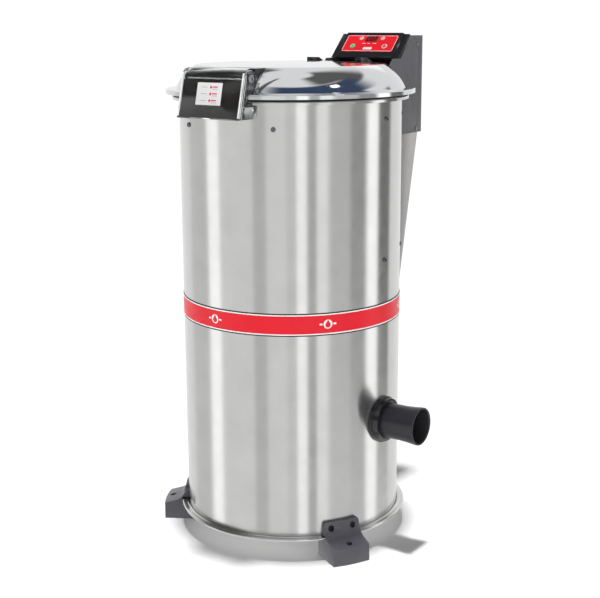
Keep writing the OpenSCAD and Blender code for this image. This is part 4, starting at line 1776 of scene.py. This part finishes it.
@dataclass
class Studio:
    """Floor, camera and light."""

    shop: Workshop
    view_azimuth: float = math.radians(35)
    distance: float = 2.365
    height: float = 1.012
    pitch: float = 0.2283
    yaw: float = 0.0070
    roll: float = -0.0041
    lens: float = 72.5
    floor_radius: float = 1.3
    base_level: float = 0.93
    floor_sides: int = 96
    fill_share: float = 0.15
    backdrop_level: float = 1.05
    soft_width: float = 0.3
    soft_height: float = 4.0
    overhead_energy: float = 3.3
    overhead_angle: float = math.radians(4)
    cards: tuple[Card, ...] = (
        # Upright panels and flags that give the drum its bands of light.
        Card(-114, 15, 0.76), Card(-88, 8, 1.55), Card(-33, 7, 0.66), Card(0, 5, 0.8),
        Card(10.5, 5, 1.4), Card(22.5, 5.5, 0.56), Card(32, 6, 1.15), Card(52, 12, 0.64, -24),
        Card(73, 10, 0.36, -22), Card(94, 8, 1.5), Card(113, 11, 0.2, -21),
        # Dark corners of the room, in the clear flap and in the control head.
        Card(-72, 42, 0.16, 3, 30), Card(-88, 26, 0.12, 20, 64), Card(-122, 40, 0.14, 38, 76),
        # What the lid's shoulder shows: a dark grey patch, a blue band, two lamps.
        Card(85, 50, 0.13, 44, 80), Card(36, 66, 0.1, 30, 58, (0.55, 0.8, 1.45)),
        Card(60, 5, 9.0, 47, 54), Card(40, 42, 1.1, 55.5, 60), Card(-38, 3.5, 0.08, 40, 80),
        Card(180, 28, 1.35, 22, 44),
        # The pale floor, as steep reflections see it.
        Card(0, 260, 1.0, -90, -31),
    )

    def build(self) -> None:
        """Set the studio up."""
        self.floor()
        self.camera()
        self.world()
        self.lamps()
        bpy.context.scene.view_settings.view_transform = "Standard"

    def floor(self) -> None:
        """Lay a plain pale floor."""
        rim = arc((0.0, 0.0), self.floor_radius, 0, 360, self.floor_sides)[:-1]
        floor = new_object("floor", [(x, y, 0) for x, y in rim], [tuple(range(len(rim)))])
        floor.data.materials.append(self.shop.palette.of(PALE_FLOOR))
        floor.visible_glossy = False

    def camera(self) -> None:
        """Place the camera."""
        side, ahead = math.sin(self.view_azimuth), math.cos(self.view_azimuth)
        right = Vector((ahead, side, 0))
        away = Vector((-side, ahead, 0))
        level = math.cos(self.pitch)
        forward = (right * math.sin(self.yaw) * level + away * math.cos(self.yaw) * level
                   - Vector((0, 0, math.sin(self.pitch))))
        flat = right * math.cos(self.yaw) - away * math.sin(self.yaw)
        above = flat.cross(forward)
        across = flat * math.cos(self.roll) + above * math.sin(self.roll)
        upward = above * math.cos(self.roll) - flat * math.sin(self.roll)
        turn = Matrix((across, upward, -forward)).transposed().to_4x4()
        spot = Vector((self.distance * side, -self.distance * ahead, self.height))
        data = bpy.data.cameras.new("camera")
        data.lens = self.lens
        data.sensor_width = 36.0
        data.dof.use_dof = False
        camera = bpy.data.objects.new("camera", data)
        camera.matrix_world = Matrix.Translation(spot) @ turn
        bpy.context.scene.collection.objects.link(camera)
        bpy.context.scene.camera = camera

    def world(self) -> None:
        """Surround the machine with white walls, light panels and dark flags."""
        world = bpy.data.worlds.new("studio")
        bpy.context.scene.world = world
        world.use_nodes = True
        tree = world.node_tree
        tree.nodes.clear()
        way = add_node(tree, "ShaderNodeSeparateXYZ",
                       {0: add_node(tree, "ShaderNodeTexCoord").outputs["Generated"]})
        bearing = add_node(tree, "ShaderNodeMath", {0: way.outputs[1], 1: way.outputs[0]},
                           operation="ARCTAN2")
        colour = add_node(tree, "ShaderNodeRGB").outputs[0]
        colour.default_value = (self.base_level, self.base_level, self.base_level, 1.0)
        for card in self.cards:
            paint = tuple(card.level * share for share in card.tint)
            colour = add_node(tree, "ShaderNodeMix",
                              {0: self.window(tree, card, bearing.outputs[0], way.outputs[2]),
                               6: colour, 7: (*paint, 1.0)}, data_type="RGBA").outputs[2]
        seen = add_node(tree, "ShaderNodeLightPath")
        share = add_node(tree, "ShaderNodeMapRange",
                         {"Value": seen.outputs["Is Diffuse Ray"], "To Min": 1.0,
                          "To Max": self.fill_share})
        studio = add_node(tree, "ShaderNodeBackground",
                          {"Color": colour, "Strength": share.outputs[0]})
        backdrop = add_node(tree, "ShaderNodeBackground",
                            {"Color": WHITE, "Strength": self.backdrop_level})
        chosen = add_node(tree, "ShaderNodeMixShader",
                          {0: seen.outputs["Is Camera Ray"], 1: studio.outputs[0],
                           2: backdrop.outputs[0]})
        add_node(tree, "ShaderNodeOutputWorld", {0: chosen.outputs[0]})

    def window(self, tree: Tree, card: Card, bearing: Socket, upward: Socket) -> Socket:
        """Give how far a direction lies inside a card, with soft edges.

        Args:
            tree: The world's tree.
            card: The card.
            bearing: The direction's angle about the upright axis.
            upward: Its upward part.

        Returns:
            1 inside the card and 0 outside it.
        """
        centre = self.view_azimuth - math.pi / 2 + math.radians(card.azimuth)
        off = add_node(tree, "ShaderNodeMath", {0: bearing, 1: centre}, operation="SUBTRACT")
        turned = add_node(tree, "ShaderNodeMath", {0: off.outputs[0], 1: math.pi, 2: -math.pi},
                          operation="WRAP")
        apart = add_node(tree, "ShaderNodeMath", {0: turned.outputs[0]}, operation="ABSOLUTE")
        edges = [(apart.outputs[0], math.radians((1 + self.soft_width) * card.half_width),
                  math.radians((1 - self.soft_width) * card.half_width)),
                 (upward, math.sin(math.radians(card.high)),
                  math.sin(math.radians(card.high - self.soft_height)))]
        if card.low > -90:
            edges.append((upward, math.sin(math.radians(card.low)),
                          math.sin(math.radians(card.low + self.soft_height))))
        inside = None
        for value, outer, inner in edges:
            edge = add_node(tree, "ShaderNodeMapRange",
                            {"Value": value, "From Min": outer, "From Max": inner},
                            interpolation_type="SMOOTHSTEP").outputs[0]
            if inside is None:
                inside = edge
            else:
                inside = add_node(tree, "ShaderNodeMath", {0: inside, 1: edge},
                                  operation="MULTIPLY").outputs[0]
        return inside

    def lamps(self) -> None:
        """Light the floor from straight above, and the machine from two low soft fills."""
        sun = bpy.data.lights.new("overhead", "SUN")
        sun.energy = self.overhead_energy
        sun.angle = self.overhead_angle
        overhead = bpy.data.objects.new("overhead", sun)
        fills = []
        for name, size, energy, spot in (("fill_left", 1.6, 48.0, Vector((-1.6, -2.3, 0.32))),
                                         ("fill_right", 1.4, 46.0, Vector((2.6, -1.0, 0.32)))):
            data = bpy.data.lights.new(name, "AREA")
            data.shape = "DISK"
            data.size = size
            data.energy = energy
            aim = (Vector((0, 0, 0.55)) - spot).to_track_quat("-Z", "Y").to_matrix().to_4x4()
            fill = bpy.data.objects.new(name, data)
            fill.matrix_world = Matrix.Translation(spot) @ aim
            fills.append(fill)
        for lamp in (overhead, *fills):
            lamp.visible_glossy = False
            bpy.context.scene.collection.objects.link(lamp)


def main() -> None:
    """Build the studio and every sub-assembly, and report each piece."""
    logging.basicConfig(level=logging.INFO, format="%(name)s %(message)s")
    shop = Workshop()
    Studio(shop).build()
    for part in (Drum, Feet, Drain, Basket, Lid, Latch, Column, ControlHead, Machinery):
        LOG.info("building %s", part.__name__)
        part(shop).build()


if __name__ == "__main__":
    main()
